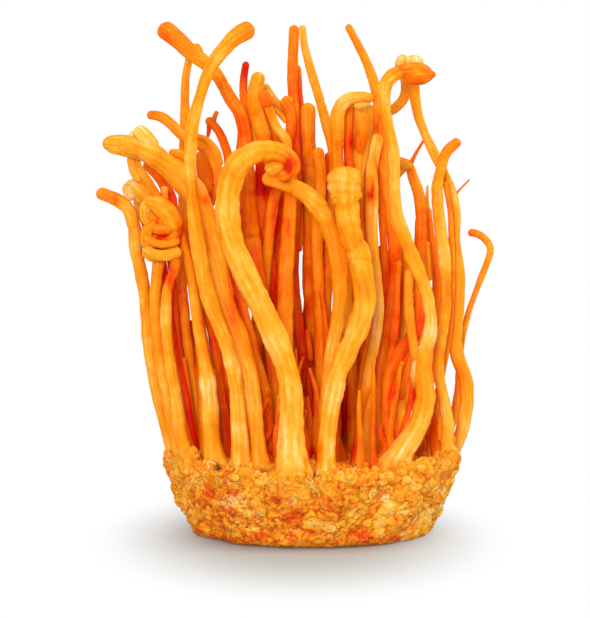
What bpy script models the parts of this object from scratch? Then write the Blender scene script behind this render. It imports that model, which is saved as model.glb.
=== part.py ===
"""Cordyceps mushroom: a cake of spent grain with its stems, each stem a piece of its own.

The origin is the middle of the cake's flat base, +Z is up, and the viewer of the photograph stands on the -Y side.
Lengths in the constants and in the stem list are millimetres, and MM turns them into metres.
"""

from math import cos, pi, sin

import bpy
import numpy as np

MM = 0.001

# The cake: a tapered round block, cut flat below, with a lumpy side and top.
CAKE_HEIGHT = 16.5
CAKE_BASE_RADIUS = 26.3
CAKE_TOP_RADIUS = 32.2
CAKE_CENTRE = (-0.9, 0.0)
CAKE_EDGE_ROUND = 3.2
CAKE_SIDES = 44
CAKE_SIDE_ROWS = 7
CAKE_TOP_RINGS = 6
LUMP_DEPTH = 1.3
FOOT_GAP = 0.3

# The photograph's viewpoint, level with the middle of the stems: how far in front of the cake, to its right, and up.
VIEW_DISTANCE = 697.84
VIEW_ACROSS = -4.8
VIEW_HEIGHT = 104.02

# The stems' outlines are round enough to read as round at arm's length.
SAMPLES = 64
CLEARANCE = 0.85
TURN_LIMIT = 0.33
STRETCH_LIMIT = 12.0
THICK_STEM = 1.65

AMBER = (0.90, 0.36, 0.03)
DEEP_ORANGE = (0.83, 0.22, 0.015)
CRUST = (0.80, 0.42, 0.10)

# Each stem: its name, where its foot stands (across, depth), the depth of its tip, its radii from foot to tip at
# even steps, and the rest of its centre line as the photograph shows it (across, up). Depth grows away from the viewer.
STEMS = (
    ("arch_stem", (-5.4, -26.5), -17.0, (3.1, 2.4, 2.4, 2.5, 2.5, 2.3, 1.5),
     ((-5.5, 20), (-5.6, 27), (-6.2, 34), (-8.0, 40), (-10.5, 46), (-13.4, 52), (-16.2, 58), (-18.6, 64),
      (-19.6, 70), (-19.4, 75.5), (-17.6, 80.5), (-13.8, 83.4), (-9.4, 84.0), (-6.1, 82.2), (-5.4, 79.6), (-7.4, 78.6))),
    ("ringed_stem", (2.0, -24.0), -14.0, (2.2, 1.8, 1.9, 2.3, 2.4, 2.6, 2.5),
     ((2.2, 20), (2.8, 25), (3.6, 30), (4.7, 35), (6.9, 40), (9.2, 45), (10.4, 50), (10.3, 55), (9.3, 60),
      (7.8, 64.5), (6.8, 69), (6.3, 74), (5.9, 78.0))),
    ("long_left_stem", (-16.8, -21.0), -14.0, (1.9, 1.4, 1.6, 1.5, 1.4, 1.1, 1.6),
     ((-17.0, 19), (-17.3, 25), (-17.6, 30), (-18.3, 35), (-19.6, 40), (-21.3, 45), (-23.2, 50), (-24.6, 55),
      (-25.6, 60), (-26.4, 65), (-27.0, 70), (-27.5, 75), (-27.8, 80), (-27.7, 85), (-27.2, 90), (-25.8, 95),
      (-24.2, 100), (-22.3, 103.6), (-19.3, 107.3), (-16.4, 109.7), (-15.2, 110.3))),
    ("leaning_stem", (1.2, -12.0), -13.0, (1.4, 1.3, 1.3, 1.5, 1.8, 1.7, 1.3),
     ((1.6, 22), (2.2, 30), (2.6, 36), (3.4, 41), (4.4, 46), (5.0, 51), (5.0, 56), (4.4, 61), (3.4, 65),
      (1.8, 69), (-0.6, 72.6), (-3.6, 75.2), (-7.4, 76.8), (-10.8, 77.8))),
    ("broad_headed_stem", (-12.6, -19.0), -5.0, (1.9, 1.8, 1.9, 2.0, 2.2, 2.4, 1.5),
     ((-13.2, 20), (-13.8, 25), (-14.4, 30), (-15.2, 35), (-16.4, 40), (-18.0, 45), (-19.8, 50), (-21.2, 55),
      (-22.4, 60), (-23.5, 65), (-24.8, 70), (-27.3, 75), (-31.0, 79), (-34.5, 82), (-38, 84), (-42, 85.2),
      (-45.6, 85.4))),
    ("pale_left_stem", (-22.3, -18.0), -8.0, (2.1, 1.9, 1.6, 1.2, 1.0, 0.9, 0.8),
     ((-22.8, 18), (-23.3, 23), (-23.5, 28), (-24.0, 33), (-24.8, 38), (-25.7, 43), (-26.5, 48), (-27.1, 53),
      (-28.0, 58), (-29.2, 63), (-30.2, 67.5))),
    ("outer_left_stem", (-30.6, -4.0), -7.0, (1.1, 1.0, 1.2, 1.3, 1.5, 1.5, 1.3),
     ((-31.9, 18), (-33.3, 22), (-34.8, 28), (-36.0, 35), (-36.9, 41), (-37.4, 47), (-37.9, 53), (-38.9, 58),
      (-39.8, 63), (-40.2, 67.6), (-41.6, 71.4), (-44.4, 73.4), (-47.2, 74.5))),
    ("forked_left_stem", (-29.2, -8.5), -3.0, (1.1, 1.1, 1.2, 1.2, 1.1, 1.0, 0.9),
     ((-30.8, 18), (-31.9, 23), (-33.1, 30), (-34.0, 35), (-34.6, 40), (-35.1, 45), (-35.6, 50), (-35.3, 55),
      (-34.6, 61), (-34.0, 68), (-34.8, 73), (-37.2, 77.4), (-39.4, 80.6), (-40.0, 84.0), (-39.2, 87.6))),
    ("coiled_stem", (-27.6, -12.5), -9.0, (1.3, 1.2, 1.1, 1.1, 1.1, 1.1, 1.0),
     ((-29.0, 18), (-30.2, 23), (-31.1, 29), (-32.0, 35), (-32.8, 41), (-33.2, 47), (-32.9, 53), (-31.4, 57.4),
      (-31.2, 60.6), (-34.0, 60.9), (-36.8, 61.8), (-36.4, 64.3), (-33.0, 64.2), (-30.9, 65.9), (-31.9, 68.4),
      (-35.0, 68.1), (-37.0, 70.0), (-36.2, 72.6), (-33.8, 72.7))),
    ("slim_left_stem", (-26.6, -6.0), 3.0, (1.2, 1.1, 1.0, 0.9, 0.8, 0.8, 0.8),
     ((-27.6, 19), (-28.4, 24), (-29.1, 30), (-30.1, 35), (-30.9, 40), (-31.3, 45), (-31.4, 50), (-31.7, 56),
      (-32.6, 62), (-33.2, 68), (-33.5, 75.4))),
    ("knobbed_left_stem", (-25.6, -1.0), -1.0, (1.1, 1.0, 0.9, 1.0, 1.1, 1.5, 1.9),
     ((-26.3, 20), (-26.6, 25), (-26.8, 30), (-27.5, 35), (-28.2, 40), (-28.8, 45), (-29.1, 50), (-29.8, 56),
      (-31.6, 62), (-34.4, 68), (-37.0, 72.6), (-40.0, 75.6))),
    ("left_thread_stem", (-24.2, -9.0), 2.0, (0.9, 0.8, 0.8, 0.8, 0.7),
     ((-24.8, 22), (-25.3, 30), (-25.6, 36), (-25.9, 41), (-26.6, 46), (-26.4, 51), (-25.6, 57), (-24.6, 63))),
    ("crossing_club_stem", (-9.4, 4.0), 4.0, (1.5, 1.5, 1.8, 2.0, 1.5, 1.2, 1.9),
     ((-9.3, 24), (-9.2, 32), (-9.8, 40), (-11.2, 48), (-12.8, 55), (-14.2, 62), (-14.9, 69), (-15.2, 76),
      (-15.6, 83), (-15.9, 88), (-16.8, 92), (-18.6, 94.8), (-20.2, 97.6), (-21.9, 100.6), (-24.2, 102.9),
      (-27.2, 105.0), (-30.2, 108.0), (-33.0, 110.1))),
    ("slim_curved_stem", (-10.6, -8.0), 2.0, (1.1, 1.0, 1.0, 0.9, 1.0, 1.1, 1.0),
     ((-10.6, 22), (-10.9, 29), (-12.2, 34), (-13.8, 40), (-15.1, 45), (-16.6, 50), (-18.3, 55), (-19.8, 60),
      (-20.8, 67), (-21.3, 74), (-22.0, 80.6), (-24.0, 84.0), (-26.6, 85.6), (-29.6, 87.3), (-32.0, 89.8),
      (-34.2, 91.4), (-36.3, 91.7))),
    ("upright_stem", (-7.2, -10.0), -2.0, (1.5, 1.5, 1.6, 1.6, 1.4, 1.3),
     ((-7.1, 26), (-7.0, 36), (-7.0, 46), (-6.9, 56), (-6.4, 64), (-6.0, 71), (-5.6, 77.5))),
    ("hooked_right_stem", (17.6, -17.0), -6.0, (2.6, 1.9, 1.4, 1.4, 1.3, 1.2, 1.5),
     ((19.2, 18), (21.5, 21.6), (23.1, 25.5), (23.9, 29.5), (23.7, 33.5), (23.6, 37), (24.3, 41), (25.1, 45),
      (24.7, 50), (23.3, 55), (21.2, 60), (19.0, 65.3), (17.4, 70), (16.9, 75), (17.0, 80), (16.5, 85), (15.5, 90),
      (14.6, 95), (15.2, 98.8), (17.4, 100.9), (20.6, 101.3), (24.2, 100.7))),
    ("bent_right_stem", (15.4, -6.0), 10.0, (1.3, 1.2, 1.4, 1.6, 1.4, 1.2, 1.0),
     ((15.5, 24), (15.6, 30), (16.1, 35), (18.1, 39), (20.6, 42.2), (22.2, 46), (22.8, 51), (22.6, 57), (22.8, 64),
      (22.9, 70), (22.3, 74.5), (21.0, 78.2), (20.2, 80.6), (19.4, 81.2))),
    ("outer_right_stem", (28.6, -7.0), 2.0, (1.5, 1.3, 1.1, 1.2, 1.3, 1.2, 1.0),
     ((28.9, 21), (28.8, 25), (27.8, 30), (26.9, 35), (27.1, 40), (27.7, 45), (28.3, 50), (28.3, 55), (28.0, 60),
      (27.4, 65), (26.7, 70), (26.4, 76), (27.2, 80), (28.3, 83.5), (30.6, 85.7))),
    ("wavy_right_stem", (29.8, 2.0), 6.0, (1.2, 1.5, 1.5, 1.0, 1.0, 1.1, 1.5),
     ((31.4, 20.2), (32.4, 24), (33.1, 29), (32.8, 33.5), (31.2, 38), (30.5, 42), (30.5, 46), (31.0, 50), (31.4, 55),
      (31.0, 60), (30.4, 65), (30.6, 70), (29.6, 75), (27.6, 79.5), (25.5, 83.7), (23.5, 88), (22.1, 92),
      (21.3, 96), (21.2, 99), (21.2, 103.4))),
    ("far_right_hook_stem", (28.0, 8.0), 12.0, (0.8, 0.8, 0.8, 0.6, 0.6, 0.7, 0.8),
     ((29.6, 23), (30.9, 29), (31.3, 34), (31.5, 39), (32.3, 44), (33.3, 48), (34.6, 52), (36.1, 56), (37.6, 59.8),
      (38.2, 62.4), (37.1, 64.4), (35.4, 65.6), (33.9, 65.9))),
    ("inner_right_stem", (10.9, -3.0), -1.0, (1.3, 1.2, 1.1, 1.0, 1.1, 1.2, 1.3),
     ((10.9, 24), (11.0, 30), (11.5, 36), (12.4, 40), (13.3, 45), (13.6, 50), (13.1, 56), (12.4, 62), (12.0, 68),
      (12.2, 74), (12.0, 79), (12.6, 83), (13.2, 86.4))),
    ("straight_right_stem", (13.4, 1.0), 3.0, (1.4, 1.3, 1.2, 1.2, 1.1, 1.0, 0.9),
     ((13.8, 24), (13.8, 30), (14.0, 36), (14.9, 42), (16.2, 48), (17.0, 54), (17.2, 60), (16.4, 68), (15.2, 76),
      (14.2, 84), (13.7, 90), (13.3, 95), (12.5, 98.6), (11.5, 101.6), (10.0, 105), (8.2, 108.4), (7.0, 110.7))),
    ("short_fork_stem", (17.4, -8.0), 4.0, (1.2, 1.1, 1.0, 1.0, 0.9),
     ((18.1, 25), (19.4, 29.6), (20.9, 33), (21.6, 38), (20.8, 44), (20.2, 50), (20.2, 57))),
    ("central_stem", (0.6, 3.0), 4.0, (1.3, 1.2, 1.2, 1.2, 1.3, 1.2),
     ((0.9, 26), (0.9, 34), (0.7, 42), (0.5, 50), (0.2, 58), (0.0, 66), (0.4, 73), (0.9, 79), (0.3, 83.5))),
    ("left_tall_pair_stem", (-3.0, 8.0), 8.0, (1.3, 1.2, 1.2, 1.3, 1.2, 1.1, 1.0),
     ((-2.9, 28), (-2.8, 37), (-4.0, 45), (-5.0, 52), (-5.2, 60), (-4.9, 68), (-4.6, 76), (-4.6, 84), (-4.9, 91),
      (-5.3, 97), (-5.3, 103), (-5.0, 110.4))),
    ("right_tall_pair_stem", (4.4, 7.0), 6.0, (1.2, 1.1, 1.1, 1.1, 1.2, 0.9, 0.8),
     ((4.0, 28), (3.2, 36), (2.4, 44), (2.2, 52), (2.6, 60), (3.4, 68), (4.0, 76), (3.6, 84), (2.1, 89.5),
      (0.9, 94), (-0.3, 98), (-1.6, 102.4), (-2.7, 106.6), (-3.2, 110.6))),
    ("short_dark_stem", (-5.0, 14.0), 11.0, (1.1, 1.1, 1.1, 1.1, 1.0, 0.8),
     ((-4.6, 30), (-3.4, 42), (-1.8, 50), (-1.5, 58), (-2.2, 68), (-2.9, 78), (-3.3, 88), (-3.7, 95), (-4.2, 101.8))),
    ("stub_stem", (0.2, 13.0), 5.0, (1.2, 1.2, 1.3, 1.5, 1.6, 1.5),
     ((0.2, 30), (-0.4, 40), (-1.4, 50), (-1.6, 60), (-1.2, 70), (-1.0, 79), (-1.8, 86), (-2.0, 93.0))),
    ("side_club_stem", (-8.0, 12.0), 7.0, (1.1, 1.1, 1.1, 1.1, 1.1, 1.1),
     ((-8.0, 30), (-8.2, 42), (-8.4, 54), (-8.5, 64), (-8.0, 74), (-7.0, 82), (-5.8, 88), (-5.8, 92.4), (-7.0, 94.4))),
    ("gnarled_club_stem", (-11.0, 16.0), 2.0, (1.3, 1.3, 1.3, 1.3, 1.4, 1.5, 1.4),
     ((-11.2, 32), (-11.6, 44), (-11.4, 56), (-11.0, 66), (-10.2, 76), (-10.6, 83), (-12.0, 88), (-13.3, 92),
      (-13.6, 96), (-12.9, 99.8))),
    ("gnarled_loop_stem", (-14.5, 10.0), -3.0, (1.2, 1.1, 1.1, 1.1, 1.1, 1.0, 0.9),
     ((-13.8, 32), (-12.6, 44), (-11.4, 56), (-10.4, 66), (-9.0, 75), (-6.8, 82.6), (-6.6, 86.0), (-8.8, 89.0),
      (-10.2, 92.6), (-11.6, 95.4))),
    ("red_tip_stem", (-15.6, 14.0), 9.0, (1.1, 1.1, 1.1, 1.1, 1.0, 0.9),
     ((-15.4, 32), (-16.0, 44), (-16.6, 56), (-17.2, 66), (-17.0, 76), (-15.6, 84), (-15.2, 90), (-15.9, 95),
      (-16.1, 99), (-15.6, 102.6))),
    ("small_hook_stem", (-19.4, 6.0), 6.0, (1.1, 1.0, 1.0, 0.9, 0.9, 0.9),
     ((-19.0, 30), (-19.8, 42), (-20.8, 54), (-20.6, 64), (-19.6, 74), (-19.3, 81), (-20.2, 85.2), (-21.6, 88.3),
      (-23.6, 90.4))),
    ("small_arch_stem", (8.2, 4.0), 1.0, (1.3, 1.2, 1.2, 1.2, 1.2, 1.3, 1.1),
     ((8.0, 28), (7.6, 38), (6.6, 48), (6.6, 58), (6.4, 66), (5.6, 74), (4.6, 82), (4.4, 88), (4.6, 92.4),
      (6.4, 95.0), (9.2, 95.7), (11.4, 95.4))),
    ("inner_arch_stem", (9.6, 12.0), 6.0, (1.2, 1.2, 1.2, 1.2, 1.1, 1.1),
     ((9.6, 32), (10.2, 44), (9.8, 56), (9.2, 66), (9.0, 76), (9.4, 84), (10.0, 89), (9.6, 92.6))),
    ("fork_head_stem", (16.0, 11.0), 8.0, (1.1, 1.0, 0.9, 0.9, 0.9, 0.9, 1.1),
     ((16.6, 30), (18.6, 42), (19.6, 52), (19.0, 62), (16.4, 72), (14.6, 80), (14.0, 87), (15.0, 91.6),
      (17.4, 93.4), (19.2, 95.6), (19.4, 99.0), (18.6, 103.2))),
    ("shaded_left_stem", (-26.0, 2.0), 2.0, (1.1, 1.1, 1.1, 1.2, 1.2, 1.1),
     ((-27.4, 30), (-29.2, 44), (-30.2, 56), (-31.0, 67), (-31.9, 73), (-33.6, 76.8), (-35.4, 79.1), (-37.0, 80.8))),
    ("shoulder_stem", (-18.0, -1.0), 3.0, (1.2, 1.2, 1.3, 1.4, 1.8, 1.7),
     ((-19.0, 30), (-21.8, 44), (-24.2, 56), (-25.4, 66), (-24.7, 74), (-24.5, 79), (-25.2, 82.4))),
    ("knot_back_stem", (-26.8, -4.0), -4.0, (1.1, 1.1, 1.1, 1.2, 1.4, 1.6),
     ((-29.4, 30), (-31.8, 42), (-33.6, 54), (-34.6, 60), (-36.4, 65), (-37.0, 68.6))),
    ("left_gap_stem", (-25.6, 4.0), 3.0, (0.9, 0.8, 0.8, 0.8, 0.8, 0.7),
     ((-27.0, 24), (-28.2, 31), (-29.1, 38), (-29.6, 45), (-29.5, 52), (-29.7, 64))),
    ("low_left_stem", (-19.6, -4.0), 1.0, (1.1, 1.0, 1.0, 0.9, 0.8),
     ((-20.4, 25), (-21.5, 32), (-22.2, 38), (-22.9, 43), (-24.2, 49), (-25.8, 58))),
    ("left_middle_stem", (-10.4, 7.0), 5.0, (1.1, 1.1, 1.1, 1.1, 1.1, 1.0),
     ((-10.6, 34), (-10.0, 46), (-9.8, 56), (-11.4, 66), (-12.5, 74), (-12.5, 81))),
    ("upper_twig_stem", (-4.0, 15.0), 10.0, (1.0, 1.0, 1.0, 1.0, 1.1, 1.0),
     ((-4.6, 34), (-6.0, 48), (-6.4, 62), (-5.2, 76), (-4.8, 84), (-5.4, 89.4), (-7.4, 92.4), (-9.6, 94.8),
      (-11.4, 97.6))),
    ("lower_twig_stem", (-7.4, 17.0), 8.0, (1.1, 1.1, 1.0, 1.0, 1.1, 1.1),
     ((-7.6, 34), (-7.4, 48), (-6.9, 62), (-6.6, 76), (-7.4, 83), (-9.2, 86.8), (-11.0, 90.2), (-12.6, 94.0))),
    ("arch_inner_stem", (6.4, 9.0), 6.0, (1.0, 1.0, 1.0, 1.0, 1.0, 0.9),
     ((7.2, 34), (7.8, 48), (7.7, 62), (7.2, 76), (6.8, 85), (6.9, 93.4))),
    ("arch_back_stem", (11.4, 15.0), 10.0, (1.3, 1.2, 1.2, 1.2, 1.3, 1.2),
     ((11.6, 34), (11.8, 48), (11.0, 62), (11.1, 76), (11.7, 85), (11.7, 91.6))),
    ("right_gap_stem", (14.0, 7.0), 5.0, (1.0, 0.9, 0.9, 0.9, 0.9, 0.8),
     ((14.3, 30), (14.8, 39), (15.1, 48), (15.2, 56), (14.6, 65), (14.0, 74), (13.6, 80.6))),
    ("low_right_stem", (15.0, -2.0), 2.0, (1.0, 0.9, 0.9, 0.8, 0.8),
     ((15.3, 26), (15.8, 33), (16.4, 39), (17.1, 44), (17.6, 51), (17.9, 59))),
    ("outer_right_slim_stem", (25.2, 1.0), 4.0, (0.9, 0.8, 0.7, 0.65, 0.6, 0.6),
     ((26.2, 26), (27.2, 33), (28.9, 42), (29.5, 49), (29.7, 56), (29.6, 63), (29.3, 70), (28.2, 76.6))),
    ("middle_slim_stem", (2.0, 12.0), 9.0, (1.0, 0.9, 0.9, 0.8, 0.8, 0.8),
     ((1.8, 32), (1.7, 46), (1.6, 58), (2.0, 68), (2.6, 76), (2.5, 82.8))),
    ("back_left_stem", (-21.5, 13.0), 15.0, (1.2, 1.1, 1.1, 1.0, 0.9, 0.8),
     ((-23.4, 32), (-25.4, 44), (-27.6, 56), (-29.2, 68), (-29.4, 80), (-29.0, 90), (-28.7, 100), (-27.2, 106.6))),
    ("back_right_stem", (22.6, 10.0), 13.0, (1.3, 1.2, 1.2, 1.1, 1.0, 0.9),
     ((24.0, 30), (25.4, 40), (26.4, 50), (26.0, 58), (25.0, 65), (24.4, 70.6))),
    ("back_short_stem", (-14.0, 21.0), 19.0, (1.2, 1.2, 1.1, 1.0, 0.8),
     ((-15.4, 34), (-17.4, 46), (-18.6, 58), (-18.0, 68), (-16.4, 75))),
    ("back_middle_stem", (2.4, 22.0), 18.0, (1.2, 1.2, 1.1, 1.0, 0.8),
     ((3.4, 34), (4.6, 46), (6.4, 58), (8.4, 68), (9.4, 79))),
    ("back_tall_stem", (12.0, 20.0), 16.0, (1.2, 1.2, 1.1, 1.0, 0.8),
     ((13.4, 34), (16.2, 46), (17.6, 58), (17.2, 70), (15.6, 80), (15.4, 88))),
    ("rear_left_stem", (-9.0, 25.0), 23.0, (1.3, 1.2, 1.2, 1.1, 0.9),
     ((-9.6, 30), (-10.4, 42), (-11.6, 54), (-11.4, 64))),
    ("rear_middle_stem", (2.2, 26.5), 26.0, (1.3, 1.3, 1.2, 1.1, 1.0),
     ((3.4, 28), (5.6, 38), (7.4, 48), (7.2, 57))),
    ("rear_right_stem", (15.0, 24.0), 21.0, (1.3, 1.2, 1.1, 1.0, 0.9),
     ((15.6, 30), (16.4, 42), (18.2, 52), (18.0, 62))),
)


def seen_at(across, up, depth):
    """The points that the viewer sees at (across, up) on the upright plane through the axis, moved back by depth."""
    spread = (VIEW_DISTANCE + depth) / VIEW_DISTANCE
    x = VIEW_ACROSS + (across - VIEW_ACROSS) * spread
    z = VIEW_HEIGHT + (up - VIEW_HEIGHT) * spread
    return np.stack([x, depth + 0 * x, z], axis=-1)


def foot_up(depth):
    """How high on that plane a foot standing on the cake's top is seen."""
    spread = (VIEW_DISTANCE + depth) / VIEW_DISTANCE
    return VIEW_HEIGHT + (CAKE_HEIGHT + FOOT_GAP - VIEW_HEIGHT) / spread


def smooth_line(points, count):
    """Even samples along a smooth curve (Catmull-Rom) through the points, and how far along each one is, 0 to 1."""
    points = np.asarray(points, float)
    ends = np.vstack([2 * points[0] - points[1], points, 2 * points[-1] - points[-2]])
    step = np.linspace(0, 1, 12, endpoint=False)[:, None]
    pieces = [
        0.5 * (2 * b + (c - a) * step + (2 * a - 5 * b + 4 * c - d) * step**2 + (3 * b - a - 3 * c + d) * step**3)
        for a, b, c, d in zip(ends, ends[1:], ends[2:], ends[3:])
    ]
    dense = np.vstack(pieces + [points[-1:]])
    length = np.concatenate([[0], np.cumsum(np.linalg.norm(np.diff(dense, axis=0), axis=1))])
    share = np.linspace(0, 1, count)
    return np.stack([np.interp(share * length[-1], length, dense[:, k]) for k in range(dense.shape[1])], axis=1), share


def spread_out(lines, depths, radii):
    """Moves the stems nearer or further, never sideways in the view, until each one clears the others.

    Where two stems cross in the view, their depths must differ by what their radii and the clearance need, and the
    one that starts in front stays in front. The moves are blurred along each stem so that it stays smooth.
    """
    count, samples = depths.shape
    flat, owner = lines.reshape(-1, 2), np.repeat(np.arange(count), samples)
    size, start = radii.reshape(-1), depths.reshape(-1)
    reach = size[:, None] + size[None, :] + CLEARANCE
    apart = np.linalg.norm(flat[:, None] - flat[None, :], axis=2)
    first, second = np.nonzero((apart < reach) & (owner[:, None] < owner[None, :]))
    need = np.sqrt(reach[first, second] ** 2 - apart[first, second] ** 2)
    pair = owner[first] * count + owner[second]
    lead = np.bincount(pair, weights=(start[first] - start[second]) * need, minlength=count * count)
    order = np.where(lead[pair] > 0, 1.0, -1.0)
    depth = start.copy()
    blur = np.array([1, 2, 3, 4, 3, 2, 1]) / 16
    for _ in range(400):
        short = np.maximum(need - (depth[first] - depth[second]) * order, 0) / 2
        back, front = np.zeros_like(depth), np.zeros_like(depth)
        np.maximum.at(back, first, np.where(order > 0, short, 0))
        np.maximum.at(back, second, np.where(order < 0, short, 0))
        np.maximum.at(front, first, np.where(order < 0, short, 0))
        np.maximum.at(front, second, np.where(order > 0, short, 0))
        move = (back - front).reshape(count, samples)
        padded = np.pad(move, ((0, 0), (3, 3)), mode="edge")
        smoothed = np.stack([np.convolve(row, blur, mode="valid") for row in padded])
        depth = depth + (0.5 * move + 0.7 * smoothed).reshape(-1)
    return depth.reshape(count, samples)


def stem_lines():
    """Every stem's centre line in space and its radii, once the stems clear each other."""
    lines, depths, radii = [], [], []
    for name, foot, tip_depth, girth, path in STEMS:
        line, share = smooth_line([(foot[0], foot_up(foot[1]))] + list(path), SAMPLES)
        lines.append(line)
        depths.append(foot[1] + (tip_depth - foot[1]) * share)
        radii.append(np.interp(share, np.linspace(0, 1, len(girth)), girth))
    lines, depths, radii = np.array(lines), np.array(depths), np.array(radii)
    depths = spread_out(lines, depths, radii)
    return seen_at(lines[..., 0], lines[..., 1], depths), radii


def thinned(points, radii):
    """Only the samples that the shape needs: one at each turn of the line, and one at each end of a long stretch."""
    kept, last_way = [0], points[1] - points[0]
    last_way = last_way / np.linalg.norm(last_way)
    for index in range(2, len(points) - 2):
        way = points[index + 1] - points[index]
        way = way / np.linalg.norm(way)
        turn = np.arccos(np.clip(way @ last_way, -1, 1))
        if turn > TURN_LIMIT or np.linalg.norm(points[index] - points[kept[-1]]) > STRETCH_LIMIT:
            kept.append(index)
            last_way = way
    kept.append(len(points) - 1)
    return points[kept], radii[kept]


def plain_material(name, colour, roughness):
    material = bpy.data.materials.new(name)
    material.use_nodes = True
    surface = material.node_tree.nodes["Principled BSDF"]
    surface.inputs["Base Color"].default_value = (*colour, 1)
    surface.inputs["Roughness"].default_value = roughness
    surface.inputs["Metallic"].default_value = 0
    return material


def make_stem(name, points, radii, material):
    """A curve with a round section that swells and tapers, cut flat at its foot and rounded at its tip."""
    points, radii = thinned(points, radii)
    floor = CAKE_HEIGHT + FOOT_GAP
    points[0, 2] = floor
    above = points[0] + (0, 0, 0.9)
    way = (points[-1] - points[-2]) / np.linalg.norm(points[-1] - points[-2])
    tip = radii[-1]
    path = [points[0], above, *points[1:], points[-1] + way * tip * 0.6, points[-1] + way * tip * 0.95]
    size = [radii[0] * 1.06, radii[0], *radii[1:], tip * 0.78, tip * 0.3]
    curve = bpy.data.curves.new(name, "CURVE")
    curve.dimensions = "3D"
    curve.bevel_depth = 1.0
    curve.bevel_resolution = 2 if max(radii) > THICK_STEM else 1
    curve.use_fill_caps = True
    spline = curve.splines.new("POLY")
    spline.points.add(len(path) - 1)
    for spot, place, radius in zip(spline.points, path, size):
        spot.co = (*(float(value) * MM for value in place), 1)
        spot.radius = float(radius) * MM
    curve.materials.append(material)
    stem = bpy.data.objects.new(name, curve)
    bpy.context.collection.objects.link(stem)
    return stem


def lump(x, y, z):
    """How far a grain or a gap between grains pushes the surface in, 0 to 1, from waves that don't line up."""
    waves = np.sin(0.95 * x + 1.7 * np.sin(0.33 * y + 0.4)) * np.sin(0.87 * y + 1.3 * np.sin(0.41 * z + 1.1))
    ripple = np.sin(1.31 * z + 0.9 * np.sin(0.52 * x)) * np.cos(0.63 * x - 0.71 * y)
    return 0.5 + 0.28 * waves + 0.22 * ripple


def cake_profile():
    """(radius, height) down the side, from under the top's edge to the flat base, whose lower edge is rounded."""
    rows = []
    for row in range(CAKE_SIDE_ROWS):
        height = CAKE_EDGE_ROUND + (CAKE_HEIGHT - CAKE_EDGE_ROUND - 0.9) * (1 - row / (CAKE_SIDE_ROWS - 1))
        share = height / CAKE_HEIGHT
        rows.append((CAKE_BASE_RADIUS + (CAKE_TOP_RADIUS - CAKE_BASE_RADIUS) * (1 - (1 - share) ** 1.6), height))
    edge_radius = rows[-1][0]
    for angle in (0.3, 0.65, 1.0):
        bend = angle * pi / 2
        rows.append((edge_radius - CAKE_EDGE_ROUND * (1 - cos(bend)), CAKE_EDGE_ROUND * (1 - sin(bend))))
    return rows


def make_cake(feet, material):
    """The block: a ring of points for each row of the side and each ring of the top, pushed in by the lumps.

    The top stays level round every foot, so that each stem stands on it.
    """
    turn = np.arange(CAKE_SIDES) * 2 * pi / CAKE_SIDES
    rings = []
    for ring in range(1, CAKE_TOP_RINGS + 1):
        radius = (CAKE_TOP_RADIUS - 0.9) * ring / CAKE_TOP_RINGS
        x, y = CAKE_CENTRE[0] + radius * np.cos(turn), CAKE_CENTRE[1] + radius * np.sin(turn)
        near = np.min(np.hypot(x[:, None] - feet[None, :, 0], y[:, None] - feet[None, :, 1]) - feet[None, :, 2], axis=1)
        level = 1 - np.clip((near - 1.8) / 2.5, 0, 1)
        z = CAKE_HEIGHT - LUMP_DEPTH * (1 - level) * lump(x, y, 7.0 + 0 * x)
        rings.append(np.stack([x, y, z], axis=1))
    for radius, height in cake_profile():
        x, y = CAKE_CENTRE[0] + radius * np.cos(turn), CAKE_CENTRE[1] + radius * np.sin(turn)
        inset = 0 if height == 0 else LUMP_DEPTH * lump(x, y, height + 0 * x)
        x, y = x - inset * np.cos(turn), y - inset * np.sin(turn)
        rings.append(np.stack([x, y, height + 0 * x], axis=1))
    count = len(rings)
    top_middle = np.array([[*CAKE_CENTRE, CAKE_HEIGHT]])
    base_middle = np.array([[*CAKE_CENTRE, 0.0]])
    points = np.vstack([*rings, top_middle, base_middle]) * MM
    around = [(k, (k + 1) % CAKE_SIDES) for k in range(CAKE_SIDES)]
    faces = [(a + r * CAKE_SIDES, a + (r + 1) * CAKE_SIDES, b + (r + 1) * CAKE_SIDES, b + r * CAKE_SIDES)
             for r in range(count - 1) for a, b in around]
    faces += [(count * CAKE_SIDES, a, b) for a, b in around]
    faces += [(count * CAKE_SIDES + 1, b + (count - 1) * CAKE_SIDES, a + (count - 1) * CAKE_SIDES) for a, b in around]
    mesh = bpy.data.meshes.new("cake")
    mesh.from_pydata(points.tolist(), [], faces)
    mesh.shade_smooth()
    mesh.materials.append(material)
    bpy.context.collection.objects.link(bpy.data.objects.new("cake", mesh))


def main():
    for item in list(bpy.data.objects):
        bpy.data.objects.remove(item)
    centres, radii = stem_lines()
    for (name, *_), points, sizes in zip(STEMS, centres, radii):
        colour = AMBER if max(sizes) > THICK_STEM else DEEP_ORANGE
        make_stem(name, points, sizes, plain_material(name, colour, 0.5))
    feet = np.column_stack([centres[:, 0, :2], radii[:, 0]])
    make_cake(feet, plain_material("cake", CRUST, 0.85))


main()
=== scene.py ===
"""Cordyceps mushroom: the finish of the cake and the stems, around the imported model. Lengths are in mm."""

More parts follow.
